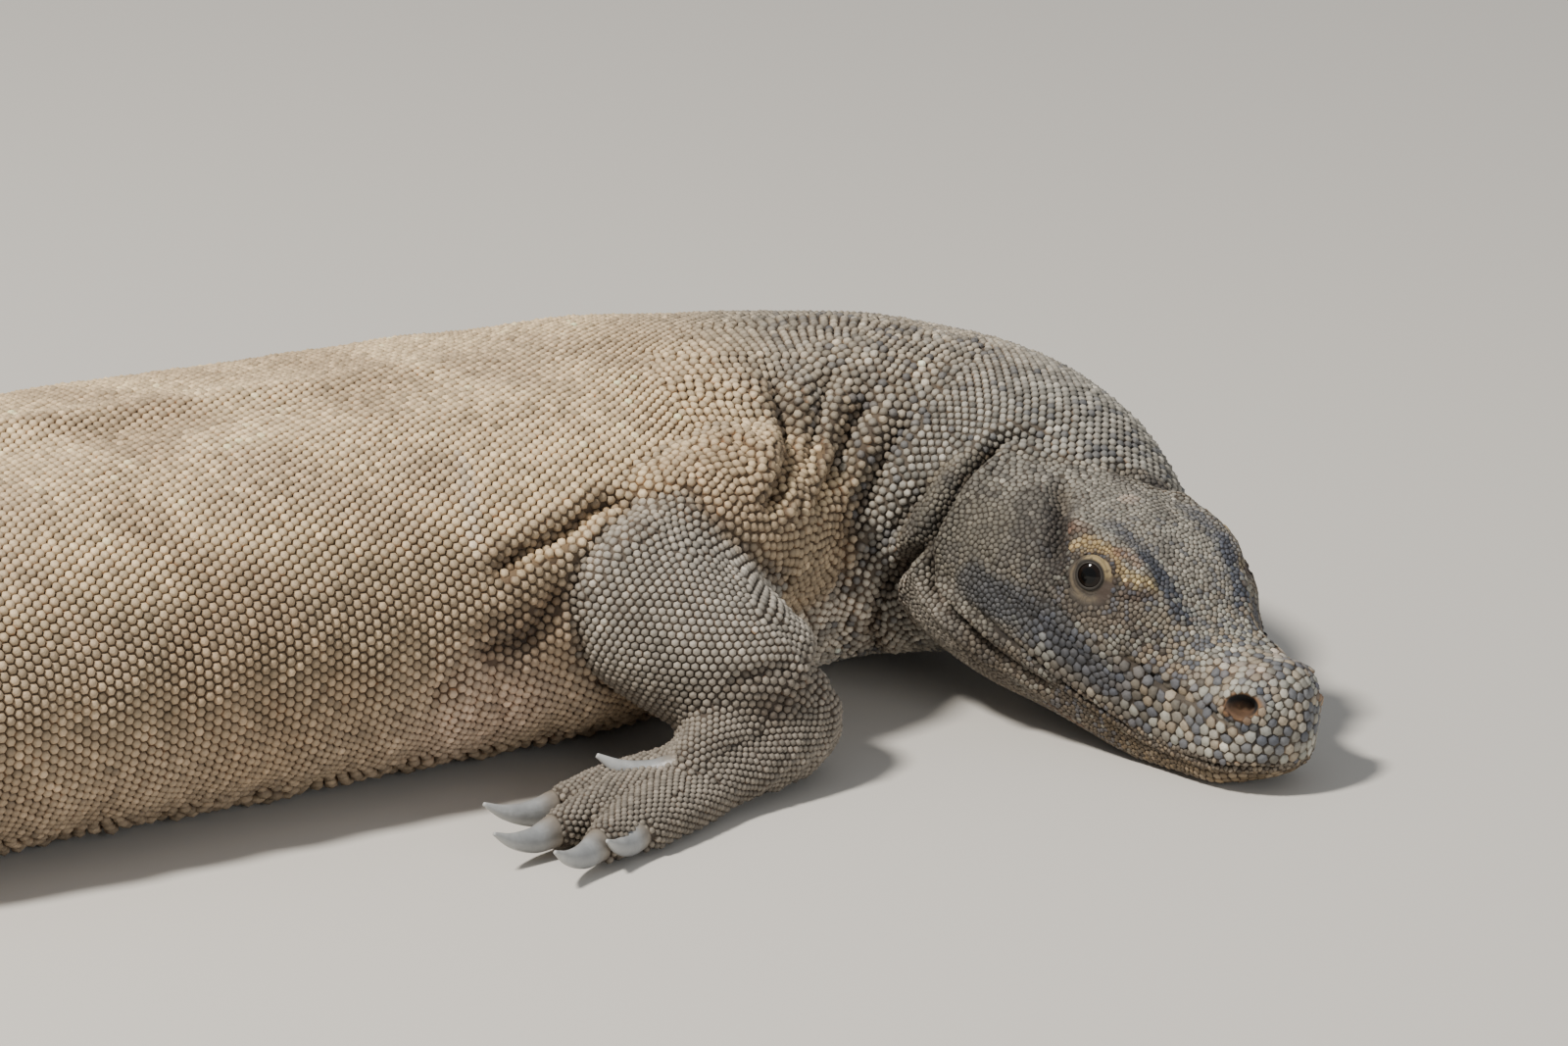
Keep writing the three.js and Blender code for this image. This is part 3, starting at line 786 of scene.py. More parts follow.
# On both sides of the head: behind the snout tip, out to the side, above the lips. Minus lifts a ridge.
headFolds = {
    "mouth": (3.2, 1.0, 0.5, mouthLine),
    "mouthRear": (1.8, 1.8, 0.8,
        [(132, 50.5, -2), (136.2, 51.8, -1), (146.1, 54.5, 2.4), (154.4, 56.2, 4.3), (161.1, 57.1, 6),
            (167.8, 57.4, 9), (172, 57, 12.8)]),
    "loreal": (2.4, 1.6, 1.0,
        [(86.4, 38, 17), (84.1, 37.3, 14.7), (77, 33.9, 12.2), (69.7, 30.9, 9.9), (59.6, 28, 9.2),
            (50.3, 25.9, 10.1), (40.4, 24.9, 10.4), (31.9, 24.1, 11), (23.6, 21.2, 10.8)]),
    "jowl": (6.2, 3.0, 1.7, [(171, 2, 50.5), (176, 4, 50.5), (181, 7, 50.6), (185.6, 13, 50),
        (187.3, 19.4, 49), (185.2, 29.8, 46), (183, 41, 39), (179, 51, 28.5), (176.5, 56.5, 14.9),
        (173, 57.7, 7.1), (168.5, 57.8, 0), (160.9, 57.1, -2.6), (152.1, 55.4, -6.3), (144.1, 53, -9.5),
        (138.1, 49.4, -15.1), (132.1, 45, -19.9)]),
    "jowlFront": (1.6, 2.2, 0.6, [(173.2, 56.5, 15.5), (162.7, 56.9, 9.9), (148.7, 54.9, 6.9)]),
    "browRidge": (-3.0, 4.2, 0,
        [(137, 26.5, 46), (126, 27.6, 45.3), (116.4, 26.8, 46.1), (103, 24.9, 45.6), (92.2, 22.3, 42.4),
            (84.7, 19.3, 38.9)]),
    "wedge": (-1.5, 3.0, 0, [(107.9, 32.2, 42.1), (97.4, 28.3, 42), (86.6, 22.7, 38.7)]),
    "canthus": (-2.2, 3.6, 0,
        [(86.3, 22, 39), (77.4, 18.3, 33.1), (70.1, 15.4, 28.7), (55.7, 14.9, 24), (41, 16.2, 23.2)]),
    "temple": (4.2, 4.2, 0.6,
        [(157.2, 12.6, 49.1), (144.9, 21.9, 47.4), (134, 31.5, 43), (127.6, 38, 38.5), (124.4, 42.6, 30)]),
    "underEye": (1.6, 1.2, 0.6,
        [(120.5, 38, 35), (118.5, 40, 32), (113.1, 43, 27.9), (107.7, 43.4, 25.5), (102, 42.4, 25.8),
            (96.3, 39.5, 29.1), (90, 34, 32.5), (83.5, 26.5, 35.5)]),
    "underEyeMiddle": (1.3, 1.2, 0.5,
        [(122, 42, 30), (120, 43, 27), (114.2, 44.3, 24.4), (107.5, 44.3, 21.6), (98.6, 42.5, 21.7),
            (91.1, 38.3, 26.4), (86.1, 31.8, 31.7)]),
    "underEyeLow": (1.1, 1.4, 0.5,
        [(124, 45, 25), (116.3, 45.4, 19.7), (105.4, 44.5, 17.2), (95, 41.2, 18)]),
    "cheek": (1.2, 3.0, 0.4,
        [(153.4, 54.1, 17.3), (130.2, 49.4, 12.3), (107.7, 45.0, 8.7), (90.5, 38.9, 2.1)]),
    "cheekUpper": (1.1, 2.0, 0.4, [(160, 52, 26), (146, 50, 22), (132, 47, 20), (120, 45.5, 19)]),
}


# How far from a line of points, and how far along it from 0 to 1
def nearLine(points, line):
    line = np.array(line, dtype=float)
    best = np.full(len(points), 1e9)
    where = np.zeros(len(points))
    lengths = np.linalg.norm(np.diff(line, axis=0), axis=1)
    starts = np.concatenate([[0], np.cumsum(lengths)])
    for i in range(len(line) - 1):
        run = line[i + 1] - line[i]
        part = np.clip(((points - line[i]) @ run) / (run @ run), 0, 1)
        away = np.linalg.norm(points - line[i] - part[:, None] * run, axis=1)
        closer = away < best
        best[closer] = away[closer]
        where[closer] = (starts[i] + part[closer] * lengths[i]) / starts[-1]
    return best, where


def creased(points, line, depth, width, lip):
    line = np.array(line, dtype=float)
    low, high = line.min(0) - 4 * width, line.max(0) + 4 * width
    close = np.flatnonzero(((points > low) & (points < high)).all(1))
    away, where = nearLine(points[close], line)
    ends = smooth(-0.02, 0.16, where) * smooth(1.02, 0.84, where)
    move = -depth * hump(away, 0, width) + lip * hump(away, 2 * width, width)
    made = np.zeros(len(points))
    made[close] = move * ends
    return made


normals = normalsOf(skin)
soft = normals.copy()
for _ in range(10):
    soft = unit(0.5 * soft + 0.5 * spread(soft))
b, r, u = headPlace(skin)
mirrored = np.stack([b, np.abs(r), u], axis=1)

move = np.zeros(len(skin))
for depth, width, lip, line in folds.values():
    move += creased(skin, line, depth, width, lip)
headMove = np.zeros(len(skin))
for depth, width, lip, line in headFolds.values():
    headMove += creased(mirrored, line, depth, width, lip)
nearHead = (b < 200) & (np.abs(r) < 75)
move += np.where(nearHead, headMove, 0)

# Hollow before the eye, and the lower lip set in under the upper
move += -1.8 * np.exp(-(((b - 68) / 14) ** 2) - ((u - 21) / 7) ** 2) * nearHead * (np.abs(r) > 10)
underLip = np.interp(b, mouthLine[:, 0], mouthLine[:, 2]) - u
move += -1.2 * smooth(1.0, 3.5, underLip) * smooth(16, 8, underLip) * smooth(125, 100, b) * nearHead
# Swollen nostrils, jaw muscles and brows
for centre, width, amount in (((29, 20, 18), 10, 1.2), ((150, 56, 22), 20, 2.0), ((100, 38, 30), 15, 1.0)):
    away = np.linalg.norm(mirrored - np.array(centre), axis=1)
    move += amount * hump(away, 0, width) * nearHead
# Creases where the legs leave the trunk and where they bend
foreRight = (skin[:, 0] > -200) & (skin[:, 1] < 110)
move -= np.where(foreRight, 0.6, 3.5) * np.clip(onSpine * onUpper * 4, 0, 1) ** 2
move -= np.where(foreRight, 0.0, 2.5) * np.clip(onUpper * onLower * 4, 0, 1) ** 3
move -= np.where(foreRight, 3.2, 1.0) * np.clip((onSpine + onUpper) * onLower * 4, 0, 1) ** 3
# Wrinkles round the bend of the right wrist
wrist = np.array([-24.0, -84.0, 38.0])
fromWrist = skin - wrist
around = np.linalg.norm(fromWrist[:, [0, 2]], axis=1)
inWrist = (
    (onHand + onLower) * smooth(62, 40, np.linalg.norm(fromWrist, axis=1)) * smooth(-4, 12, fromWrist[:, 0])
)
move += 0.75 * np.sin(around * 2 * math.pi / 6.2) * inWrist
# The loose hide rolls gently
x, y, z = skin.T
rolling = (
    np.sin(x / 17 + 2 * np.sin(y / 31)) * np.sin(y / 21 + 1.5 * np.sin(z / 23) + x / 47)
    + 0.6 * np.sin(x / 9.5 + z / 12 + np.sin(y / 13))
)
move += 0.5 * rolling * (onSpine * smooth(14, 11, row) + 0.5 * onUpper) * smooth(6, 20, z)
flank = smooth(4.5, 6, row) * smooth(11.5, 10, row) * onSpine * smooth(110, 60, z)
move += 0.7 * np.sin(row * 2 * math.pi / 0.31 + 1.3 * np.sin(z / 15)) * flank
# How deep each fold is, used to darken and brown the colour there: partly less dust in the folds, partly
# painted shade
foldDirtAndShade = np.clip(-move / 4.5, 0, 1)
skin = skin + soft * move[:, None]


# Lids stand over each eyeball and leave a round opening; the nostrils are pits with a raised rim
lids = {
    "opening": (5.0, 5.0),  # half width and half height
    "height": 0.5,  # of the lid over the eyeball
    "rim": 0.3,
    "fold": 0.8,  # how thick the upper lid is
    "bare": 5.0,  # how far out from the opening there are wrinkles and no scales
}
eyeInfo = []
for side in (1, -1):
    centre = inHead(head["eye"][0], side * head["eye"][1], head["eye"][2])
    out = unit(rightWay * side * 0.9 + upWay * 0.26 + forward * 0.34)
    ahead = unit(forward - out * (forward @ out))
    lift = unit(np.cross(out, ahead)) * side
    lift = lift if lift @ upWay > 0 else -lift
    eyeInfo.append((side, centre, out, ahead, lift))


def lidEdge(turn):
    return np.arcsin(1 / np.hypot(np.cos(turn) / lids["opening"][0], np.sin(turn) / lids["opening"][1])
        / head["eyeRadius"])


# How far out from the opening of the lids, in mm, how high (1 above, -1 below) and how far ahead
def roundEye(points):
    beyond = np.full(len(points), 99.0)
    high = np.zeros(len(points))
    front = np.zeros(len(points))
    for _, centre, out, ahead, lift in eyeInfo:
        p = points - centre
        px, py, pz = p @ ahead, p @ lift, p @ out
        turn = np.arctan2(py, px)
        angle = np.arctan2(np.hypot(px, py), pz)
        mine = (np.linalg.norm(p, axis=1) < 20) & (pz > -2)
        flat = (angle - lidEdge(turn)) * np.maximum(head["eyeRadius"], np.linalg.norm(p, axis=1))
        beyond[mine], high[mine], front[mine] = flat[mine], np.sin(turn[mine]), np.cos(turn[mine])
    return beyond, high, front


opening = np.zeros(len(skin))  # 1 inside the opening of the lids
nearEye = np.full(len(skin), 99.0)
radius = head["eyeRadius"]
for _, centre, out, ahead, lift in eyeInfo:
    away = skin - centre
    distance = np.linalg.norm(away, axis=1)
    close = np.flatnonzero((distance < 26) & (away @ out > -2))
    p = away[close]
    d = distance[close]
    px, py, pz = p @ ahead, p @ lift, p @ out
    angle = np.arctan2(np.hypot(px, py), pz)
    turn = np.arctan2(py, px)
    edge = lidEdge(turn)
    beyond = (angle - edge) * radius
    upper = smooth(-0.1, 0.5, np.sin(turn))
    # the lid leaves the ball a little way out and slopes up to the face
    lidHigh = radius + lids["height"] + 0.3 * hump(beyond, 0, 0.9)
    lidHigh += (
        upper * lids["fold"] * (hump(beyond, 1.9, 1.5) - 0.8 * hump(beyond, 4.7, 0.7)
            + 0.5 * hump(beyond, 6.4, 1.0))
    )
    lidHigh += (1 - upper) * (0.35 * hump(beyond, 3.3, 0.6) - 0.3 * hump(beyond, 2.1, 0.6))
    wrinkle = np.sin(beyond * 2 * math.pi / 1.35 + 0.9 * np.sin(3 * turn) + 0.5 * np.sin(7 * turn))
    lidHigh += 0.2 * wrinkle * smooth(1.0, 2.5, beyond) * (1 - 0.5 * upper)
    follow = smooth(math.radians(98), math.radians(60), angle)
    target = (
        d + (lidHigh + np.maximum(d - lidHigh, 0) * smooth(edge + 0.08, edge + 0.62, angle) - d) * follow
    )
    target += 0.2 * wrinkle * smooth(4, 6, beyond) * smooth(12, 9, beyond)
    inside = smooth(edge + 0.02, edge - 0.10, angle)
    target = target + (4.5 - target) * inside
    skin[close] = centre + p * (target / d)[:, None]
    opening[close] = np.maximum(opening[close], smooth(edge + 0.05, edge, angle))
    nearEye[close] = np.minimum(nearEye[close], d * np.sin(np.minimum(angle, math.pi / 2)))

# Drawn in where scales would stand out past the solids' box: at the snout, the front and the top
skin -= forward * (1.5 * smooth(30, 8, b) * onHead)[:, None]
skin[:, 0] -= 1.7 * smooth(201, 209, skin[:, 0])
skin[:, 2] -= 1.0 * smooth(135, 144.5, skin[:, 2])
nostrilDark = np.zeros(len(skin))
nb, _, nu = head["nostril"]
for side in (1, -1):
    across = np.hypot((b - nb) / 1.4, u - nu)
    mine = (r * side > 8) & (across < 16)
    pit = 6.0 * smooth(4.0, 2.2, across)
    rim = 1.1 * hump(across, 5.2, 1.6)
    skin -= soft * np.where(mine, pit - rim, 0)[:, None]
    nostrilDark = np.maximum(nostrilDark, np.where(mine, smooth(5.6, 4.8, across), 0))
smoothing = 0.35 * (1 - np.clip(nostrilDark + (nearEye < 14), 0, 1))
for _ in range(2):
    skin += smoothing[:, None] * (spread(skin) - skin)
skin[:, 2] = np.maximum(skin[:, 2], 0.5)
normals = normalsOf(skin)
print("features")

# Markings, the same on skin and scales
# Strokes on each side of the head: colour, width, strength, its share on the left side, then its points
strokes = [
    ((0.050, 0.052, 0.058), 9.0, 0.55, 1,
        [(140, 52, 10), (128, 49, 9), (114, 46, 6), (100, 43, 5), (88, 38, 2)]),
    ((0.052, 0.053, 0.058), 8.5, 0.75, 1,
        [(150, 54.4, 12), (135.5, 51, 11.9), (120, 47.1, 13), (108.6, 45.3, 14)]),
    ((0.062, 0.065, 0.078), 6.5, 0.7, 1,
        [(116, 46.5, 9.5), (108, 45, 6), (98, 42, 4), (90, 38.4, 0.5), (83, 36, 2)]),
    ((0.045, 0.034, 0.025), 5.4, 1.0, 1,
        [(140, 29, 44.5), (134, 32, 42.5), (128, 35, 40.5), (122, 38.5, 38), (121, 41, 33)]),
    ((0.060, 0.044, 0.032), 3.0, 0.7, 1, [(136, 35, 39), (129, 40, 32), (125, 43.5, 27)]),
    ((0.11, 0.085, 0.06), 6.0, 0.7, 1, [(113, 43, 27), (104, 43.5, 23), (95, 40, 25), (86, 32, 31)]),
    ((0.085, 0.066, 0.048), 5.0, 0.6, 1, [(88, 36, 25), (78, 31, 22), (66, 27, 20)]),
    ((0.16, 0.115, 0.075), 4.0, 0.5, 1, [(74, 30, 17), (62, 26, 16), (52, 23, 17)]),
    ((0.45, 0.35, 0.18), 3.0, 1.0, 0.25,
        [(103.5, 31.8, 41.6), (99, 31.5, 41), (95, 31.2, 40), (92, 28.6, 40), (89.3, 25.4, 39.5),
            (85.6, 22, 38.4)]),
    ((0.34, 0.245, 0.115), 2.8, 1.0, 0.25,
        [(121.9, 34, 40.9), (119.6, 31.7, 42.9), (114.6, 30.3, 44), (109.4, 29.9, 44.3),
            (103.3, 29.8, 43.6)]),
    ((0.25, 0.15, 0.09), 3.2, 1.0, 0.2,
        [(104.3, 28.2, 44.3), (101.8, 26.3, 44.6), (98.2, 24.8, 44.1), (95.4, 25, 42.9)]),
    ((0.16, 0.09, 0.06), 3.0, 0.6, 0.6, [(128.4, 29.5, 44.3), (122.3, 28.2, 45.2)]),
    ((0.05, 0.053, 0.066), 4.2, 1.0, 1,
        [(97.1, 21.2, 45), (93.3, 20, 43.9), (87, 18.6, 40.8), (83.1, 18, 38), (76.9, 16.8, 33.6),
            (72.1, 13.5, 31)]),
    ((0.065, 0.042, 0.03), 2.4, 0.85, 1,
        [(101, 37, 37.5), (97.8, 36.4, 35), (93.5, 35, 34.6), (88.7, 30.6, 35.6), (84.6, 25.2, 36.8)]),
    ((0.08, 0.045, 0.028), 1.5, 0.9, 0.5, [(99.9, 29.9, 41.9), (98.6, 29.4, 42.2)]),
    ((0.08, 0.045, 0.028), 1.2, 0.9, 0.5, [(95.1, 28.3, 40.9), (94.6, 27.6, 41.6)]),
    ((0.09, 0.05, 0.03), 1.3, 0.9, 0.5, [(93.9, 31.9, 38), (92.6, 31, 38)]),
    ((0.09, 0.05, 0.03), 1.1, 0.9, 0.5, [(88.9, 26.1, 38.9), (88, 25, 38.9)]),
    ((0.055, 0.048, 0.041), 9.0, 0.7, 1, [(152, 30, 45), (142, 36, 40), (133, 42, 33), (124, 45, 24)]),
    ((0.075, 0.078, 0.09), 4.5, 0.6, 1, [(118, 20, 48.5), (108, 21, 47.5), (98, 19, 45)]),
    ((0.34, 0.27, 0.21), 3.6, 0.7, 1, [(130, 1, 51), (129, -5, 51)]),
    ((0.42, 0.33, 0.26), 5.0, 0.55, 1, [(44, 14, 24), (38.8, 11.7, 26.5), (31, 11, 28)]),
    ((0.09, 0.098, 0.118), 4.0, 0.65, 1, [(32, 13.3, 27.5), (25, 12.6, 26), (22, 15, 22)]),
    ((0.075, 0.082, 0.10), 3.2, 0.75, 1,
        [(22.5, 20.5, 10.5), (17.4, 16.9, 11.4), (14.5, 14.8, 7), (17.5, 18, 7.2)]),
    ((0.15, 0.075, 0.04), 3.2, 0.5, 1, [(113, 33, -26), (108, 31, -27), (101, 28, -29)]),
]


def markings(points, way, spineShare, headShare, upperShare, lowerShare, handShare, t):
    x, y, z = points.T
    b, r, u = headPlace(points)
    side = np.abs(r)

    def blend(base, colour, amount):
        return base + (np.array(colour) - base) * np.clip(amount, 0, 1)[:, None]

    def layered(base, *layers):
        base = np.broadcast_to(base, points.shape)
        for colour, amount in layers:
            base = blend(base, colour, amount)
        return base

    wave = (
        np.sin(x / 37 + np.sin(y / 29)) * np.sin(y / 41 + np.sin(x / 53 + z / 31))
        + 0.5 * np.sin(x / 13 + y / 17) * np.sin(z / 11 + y / 19)
    )
    small = np.sin(x / 5.3 + 1.7 * np.sin(y / 7.1)) * np.sin(z / 4.7 + 1.3 * np.sin(x / 6.3 + y / 5.1))
    # trunk: dusty tan above, greyer down the flank, pinkish at the ground; the pale patch on the chest by
    # the arm is painted light, the dark patch in the armpit painted shade
    chest = hump(np.linalg.norm(points - np.array([-116, -88, 36]), axis=1), 0, 30)
    armpit = hump(np.linalg.norm(points - np.array([-98, -94, 68]), axis=1), 0, 15)
    scar, _ = nearLine(points, [(-126, -54, 130), (-124, -58, 127), (-121, -78, 116), (-119, -93, 102)])
    trunk = layered(
        [0.335, 0.25, 0.155],
        ((0.69, 0.525, 0.315), smooth(0.4, 0.95, way[:, 2]) * 0.9),
        ((0.34, 0.25, 0.165), smooth(80, 25, z) * 0.8),
        # painted light on the chest by the arm
        ((0.56, 0.41, 0.30), chest * 0.9),
        # painted shade in the armpit
        ((0.09, 0.058, 0.032), armpit),
        ((0.27, 0.19, 0.115), smooth(0.1, 0.9, wave) * 0.6),
        ((0.50, 0.37, 0.235), smooth(-0.2, -0.9, wave) * 0.5),
        ((0.66, 0.53, 0.37), smooth(3.6, 2.2, scar)),
    )
    # neck greyer and darker, the throat paler: painted light where the neck turns under into shade
    neck = layered(
        [0.225, 0.18, 0.122],
        ((0.34, 0.295, 0.23), smooth(0.45, 0.95, way[:, 2]) * 0.7),
        # painted light on the throat, low on the neck
        ((0.50, 0.43, 0.34), smooth(75, 40, z) * 0.95),
        ((0.12, 0.115, 0.11), smooth(0.2, 0.8, small) * 0.35),
    )
    spineColour = trunk + (neck - trunk) * smooth(5.2, 3.6, t)[:, None]
    spineColour = blend(spineColour, (0.275, 0.255, 0.215), smooth(2.2, 0.9, t))
    tail = layered([0.27, 0.225, 0.165], ((0.18, 0.155, 0.12), smooth(14, 19, t)))
    spineColour = spineColour + (tail - spineColour) * smooth(11, 13.5, t)[:, None]
    # head
    mouthAt = np.interp(b, mouthLine[:, 0], mouthLine[:, 2])
    face = layered(
        [0.145, 0.124, 0.094],
        ((0.225, 0.205, 0.168), smooth(0.45, 0.9, way @ upWay)),
        ((0.125, 0.110, 0.084), smooth(128, 150, b) * smooth(48, 36, u)),
        ((0.30, 0.28, 0.235), smooth(78, 40, b) * smooth(0.2, 0.7, way @ upWay)),
        ((0.29, 0.27, 0.225), smooth(70, 26, b) * smooth(0.6, 0.1, way @ upWay)),
        ((0.105, 0.08, 0.055), smooth(5.5, 3.2, u - mouthAt) * smooth(120, 96, b) * 0.85),
        ((0.10, 0.07, 0.038), smooth(-0.6, -2.4, u - mouthAt) * smooth(112, 84, b)),
        ((0.15, 0.108, 0.06), smooth(-2.6, -5, u - mouthAt) * smooth(60, 34, b) * 0.9),
        ((0.095, 0.073, 0.05), smooth(-1, -6, u - mouthAt) * smooth(80, 100, b) * 0.8),
        # painted light on the throat under the jaw, where the head turns under into shade
        ((0.21, 0.185, 0.15), smooth(140, 165, b) * smooth(12, -4, u)),
        ((0.07, 0.062, 0.055), smooth(0.35, 0.8, small) * 0.45 * smooth(40, 70, b)),
    )
    place = np.stack([b, side, u], axis=1)
    for colour, width, amount, left, line in strokes:
        away, _ = nearLine(place, line)
        face = blend(face, colour,
            amount * np.where(r > 0, 1, left)
            * smooth(1.35 * width, 0.6 * width, away + 0.12 * width * small))
    beyond, high, front = roundEye(points)
    lidZone = smooth(8.5, 6.5, beyond)
    # Wrinkles round the eye, in step with the ridges raised on the lids: lighter on the ridges as painted
    # light, darker in the grooves as painted shade
    crease = np.sin(beyond * 2 * math.pi / 1.35 + 0.9 * np.sin(3 * np.arctan2(high, front))
        + 0.5 * np.sin(7 * np.arctan2(high, front)))
    speck = (
        1 - 0.6 * smooth(0.15, 0.6,
            np.sin(b * 1.9 + 1.3 * np.sin(u * 1.4)) * np.sin(u * 1.7 + 1.1 * np.sin(b * 1.2)))
    )
    nb, _, nu = head["nostril"]
    ring = np.hypot((b - nb) / 1.3, u - nu)
    face = layered(
        face,
        ((0.05, 0.04, 0.03), lidZone),
        # painted light on the ridges of the lid wrinkles, painted shade in their grooves
        ((0.09, 0.072, 0.052), lidZone * smooth(0.2, 0.9, crease) * 0.8),
        ((0.17, 0.13, 0.08), 0.7 * hump(beyond, 3.3, 0.55) * smooth(0.35, -0.1, high)),
        ((0.12, 0.095, 0.06), hump(beyond, 0.6, 0.6) * smooth(0.35, -0.1, high) * 0.7),
        ((0.055, 0.038, 0.027), smooth(6.5, 4.5, beyond) * smooth(1.2, 2.0, beyond)
            * smooth(0.55, 0.85, front) * smooth(0.75, 0.45, high)),
        ((0.30, 0.225, 0.11), speck * smooth(4.4, 3.6, beyond) * smooth(0.3, 0.85, high + 0.25 * front)),
        ((0.27, 0.19, 0.09), speck * smooth(5.3, 6.0, beyond) * smooth(9.5, 7.6, beyond)
            * smooth(0.3, 0.6, high)),
        # painted shade: a dark line in the groove of the upper lid's fold
        ((0.05, 0.032, 0.02), hump(beyond, 4.7, 0.55) * smooth(0.05, 0.35, high)),
        ((0.02, 0.016, 0.012), smooth(1.5, 0.6, beyond) * (beyond > -3)),
        ((0.21, 0.115, 0.055), smooth(6.8, 5.2, ring + 0.7 * small) * (side > 8)),
    )
    mouthAway, _ = nearLine(place, mouthLine)
    # painted shade: a dark line in the slit between the lips
    face = face * (1 - 0.88 * hump(mouthAway, 0, 1) * smooth(142, 128, b))[:, None]
    # legs
    arm = layered(
        [0.315, 0.28, 0.23],
        ((0.42, 0.385, 0.33), smooth(0.3, 0.95, way[:, 2]) * 0.6),
        ((0.36, 0.29, 0.205), smooth(95, 112, z) * 0.6),
        ((0.085, 0.058, 0.036), smooth(72, 26, z) * 0.92),
        ((0.17, 0.15, 0.12), smooth(0.1, 0.9, wave) * 0.5),
    )
    hand = layered([0.215, 0.185, 0.148], ((0.14, 0.115, 0.085), smooth(18, 5, z) * 0.6))

    colour = (
        spineColour * spineShare[:, None]
        + face * headShare[:, None]
        + arm * lowerShare[:, None]
        + trunk * upperShare[:, None]
        + hand * handShare[:, None]
    )
    return colour * (1 + 0.12 * np.clip(wave, -1, 1))[:, None]


def markingsAt(points, way, index):
    made = markings(
        points, way, onSpine[index], onHead[index], onUpper[index], onLower[index],
        onHand[index] + onDigit[index], row[index]
    )
    # darker and browner in the folds: partly less dust there, partly painted shade
    return made * (1 - foldDirtAndShade[index, None] * np.array([0.55, 0.60, 0.64]))


everyone = np.arange(len(skin))
skinColour = markingsAt(skin, normals, everyone)
# Inside the nostrils, lit below and dark above
sb, sr, su = headPlace(skin)
within = (
    smooth(4.7, 3.9, np.hypot((sb - nb) / 1.35, su - nu)) * (np.abs(sr) > 8)
    * (np.hypot(sb - nb, su - nu) < 12)
)
inside = np.array([0.10, 0.05, 0.022]) * smooth(0.5, -3.6, su - nu)[:, None] + 0.004
skinColour = skinColour + (inside - skinColour) * within[:, None]
lidBeyond, _, _ = roundEye(skin)


# The unwrap
spineSplit = np.interp(11.8, stops, np.arange(len(stops))) / (len(stops) - 1)


# Places on the unwrap of the faces' corners, each face on the chart of its first corner
def unwrapped(faces):
    number = skinShape[faces[:, 0]]
    ring, side = skinRing[faces].copy(), skinSide[faces].copy()
    for k in range(1, faces.shape[1]):
        for wrong in np.unique(number[skinShape[faces[:, k]] != number]):
            rowsWrong = np.flatnonzero((skinShape[faces[:, k]] != number) & (number == wrong))
            tree, mine = shapeTree(int(wrong))
            _, ringThere, sideThere = onShape(skin[faces[rowsWrong, k]], tree, mine)
            ring[rowsWrong, k], side[rowsWrong, k] = ringThere, sideThere
    uv = np.zeros((*faces.shape, 2))
    for n, entry in enumerate(shapes):
        mine = np.flatnonzero(number == n)
        if not len(mine):
            continue
        run = ring[mine] / (len(entry["stops"]) - 1)
        turn = side[mine] / entry["sides"]
        crossing = turn.max(1) - turn.min(1) > 0.5
        turn[crossing] += turn[crossing] < 0.5
        x, y, w, h = entry["chart"]
        if entry["kind"] == "spine":
            rear = run.mean(1) > spineSplit
            first = np.stack([x + w * run / spineSplit, y + h * turn], axis=-1)
            last = np.stack([x + w * (run - spineSplit) / (1 - spineSplit), 0.02 + 0.31 * turn], axis=-1)
            uv[mine] = np.where(rear[:, None, None], last, first)
        else:
            uv[mine] = np.stack([x + w * run, y + h * turn], axis=-1)
    return uv


quadUv, triUv = unwrapped(skinQuads), unwrapped(skinTris)
print("unwrapped")

skinObject = meshObject("skin", skin, [skinQuads, skinTris])
addUv(skinObject.data, np.concatenate([quadUv.reshape(-1, 2), triUv.reshape(-1, 2)]))
addColour(skinObject.data, "tone", skinColour)
bare = smooth(-0.55, -0.9, normals[:, 2]) * smooth(4, 1.5, skin[:, 2])
bare = np.maximum(bare, np.maximum(smooth(lids["bare"] + 1, lids["bare"], lidBeyond), nostrilDark))
addNumber(skinObject.data, "bare", bare)
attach(skinObject, "root")
flesh = [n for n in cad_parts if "_claw_" not in n and not n.endswith("_eye")]
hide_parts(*flesh)


# Where the scales go
scaleLook = {
    "trunk": 4.1,  # mm between scales, here and down to the nostril
    "neck": 4.0,
    "nape": 3.4,
    "tail": 4.6,
    "tailTip": 3.2,
    "belly": 6,
    "upper": 3.9,
    "lower": 3.5,
    "hand": 2.9,
    "digit": 2.8,
    "crown": 2.3,
    "snout": 4.2,
    "jowl": 2.2,
    "throat": 2.2,
    "lids": 1.6,
    "lips": 4.6,
    "back": 2.6,  # of the head
    "upperLip": 4.7,
    "lowerLip": 3.6,
    "mouthEdge": 2.0,
    "cheek": 3.7,
    "brow": 1.9,
    "nostril": 3.0,
    "pieces": 8,
    "seed": 11,
}
rng = np.random.default_rng(scaleLook["seed"])
skinTree = BVHTree.FromPolygons(skin.tolist(), skinQuads.tolist() + skinTris.tolist())
skinCorner = np.concatenate([skinQuads[:, 0], skinTris[:, 0]])
skinMiddle = np.concatenate([quadUv.mean(1), triUv.mean(1)])


# The nearest place on the skin, the face there and its first corner
def onSkin(points):
    found = [skinTree.find_nearest(p)[0:3:2] for p in points.tolist()]
    place = np.array([f[0] for f in found])
    face = np.array([f[1] for f in found])
    return place, face, skinCorner[face]


pitch = (
    onSpine * scaleLook["trunk"]
    + onHead * scaleLook["crown"]
    + onUpper * scaleLook["upper"]
    + onLower * scaleLook["lower"]
    + onHand * scaleLook["hand"]
    + onDigit * scaleLook["digit"]
)


mouthHeight = np.interp(sb, mouthLine[:, 0], mouthLine[:, 2])
overLip = su - mouthHeight
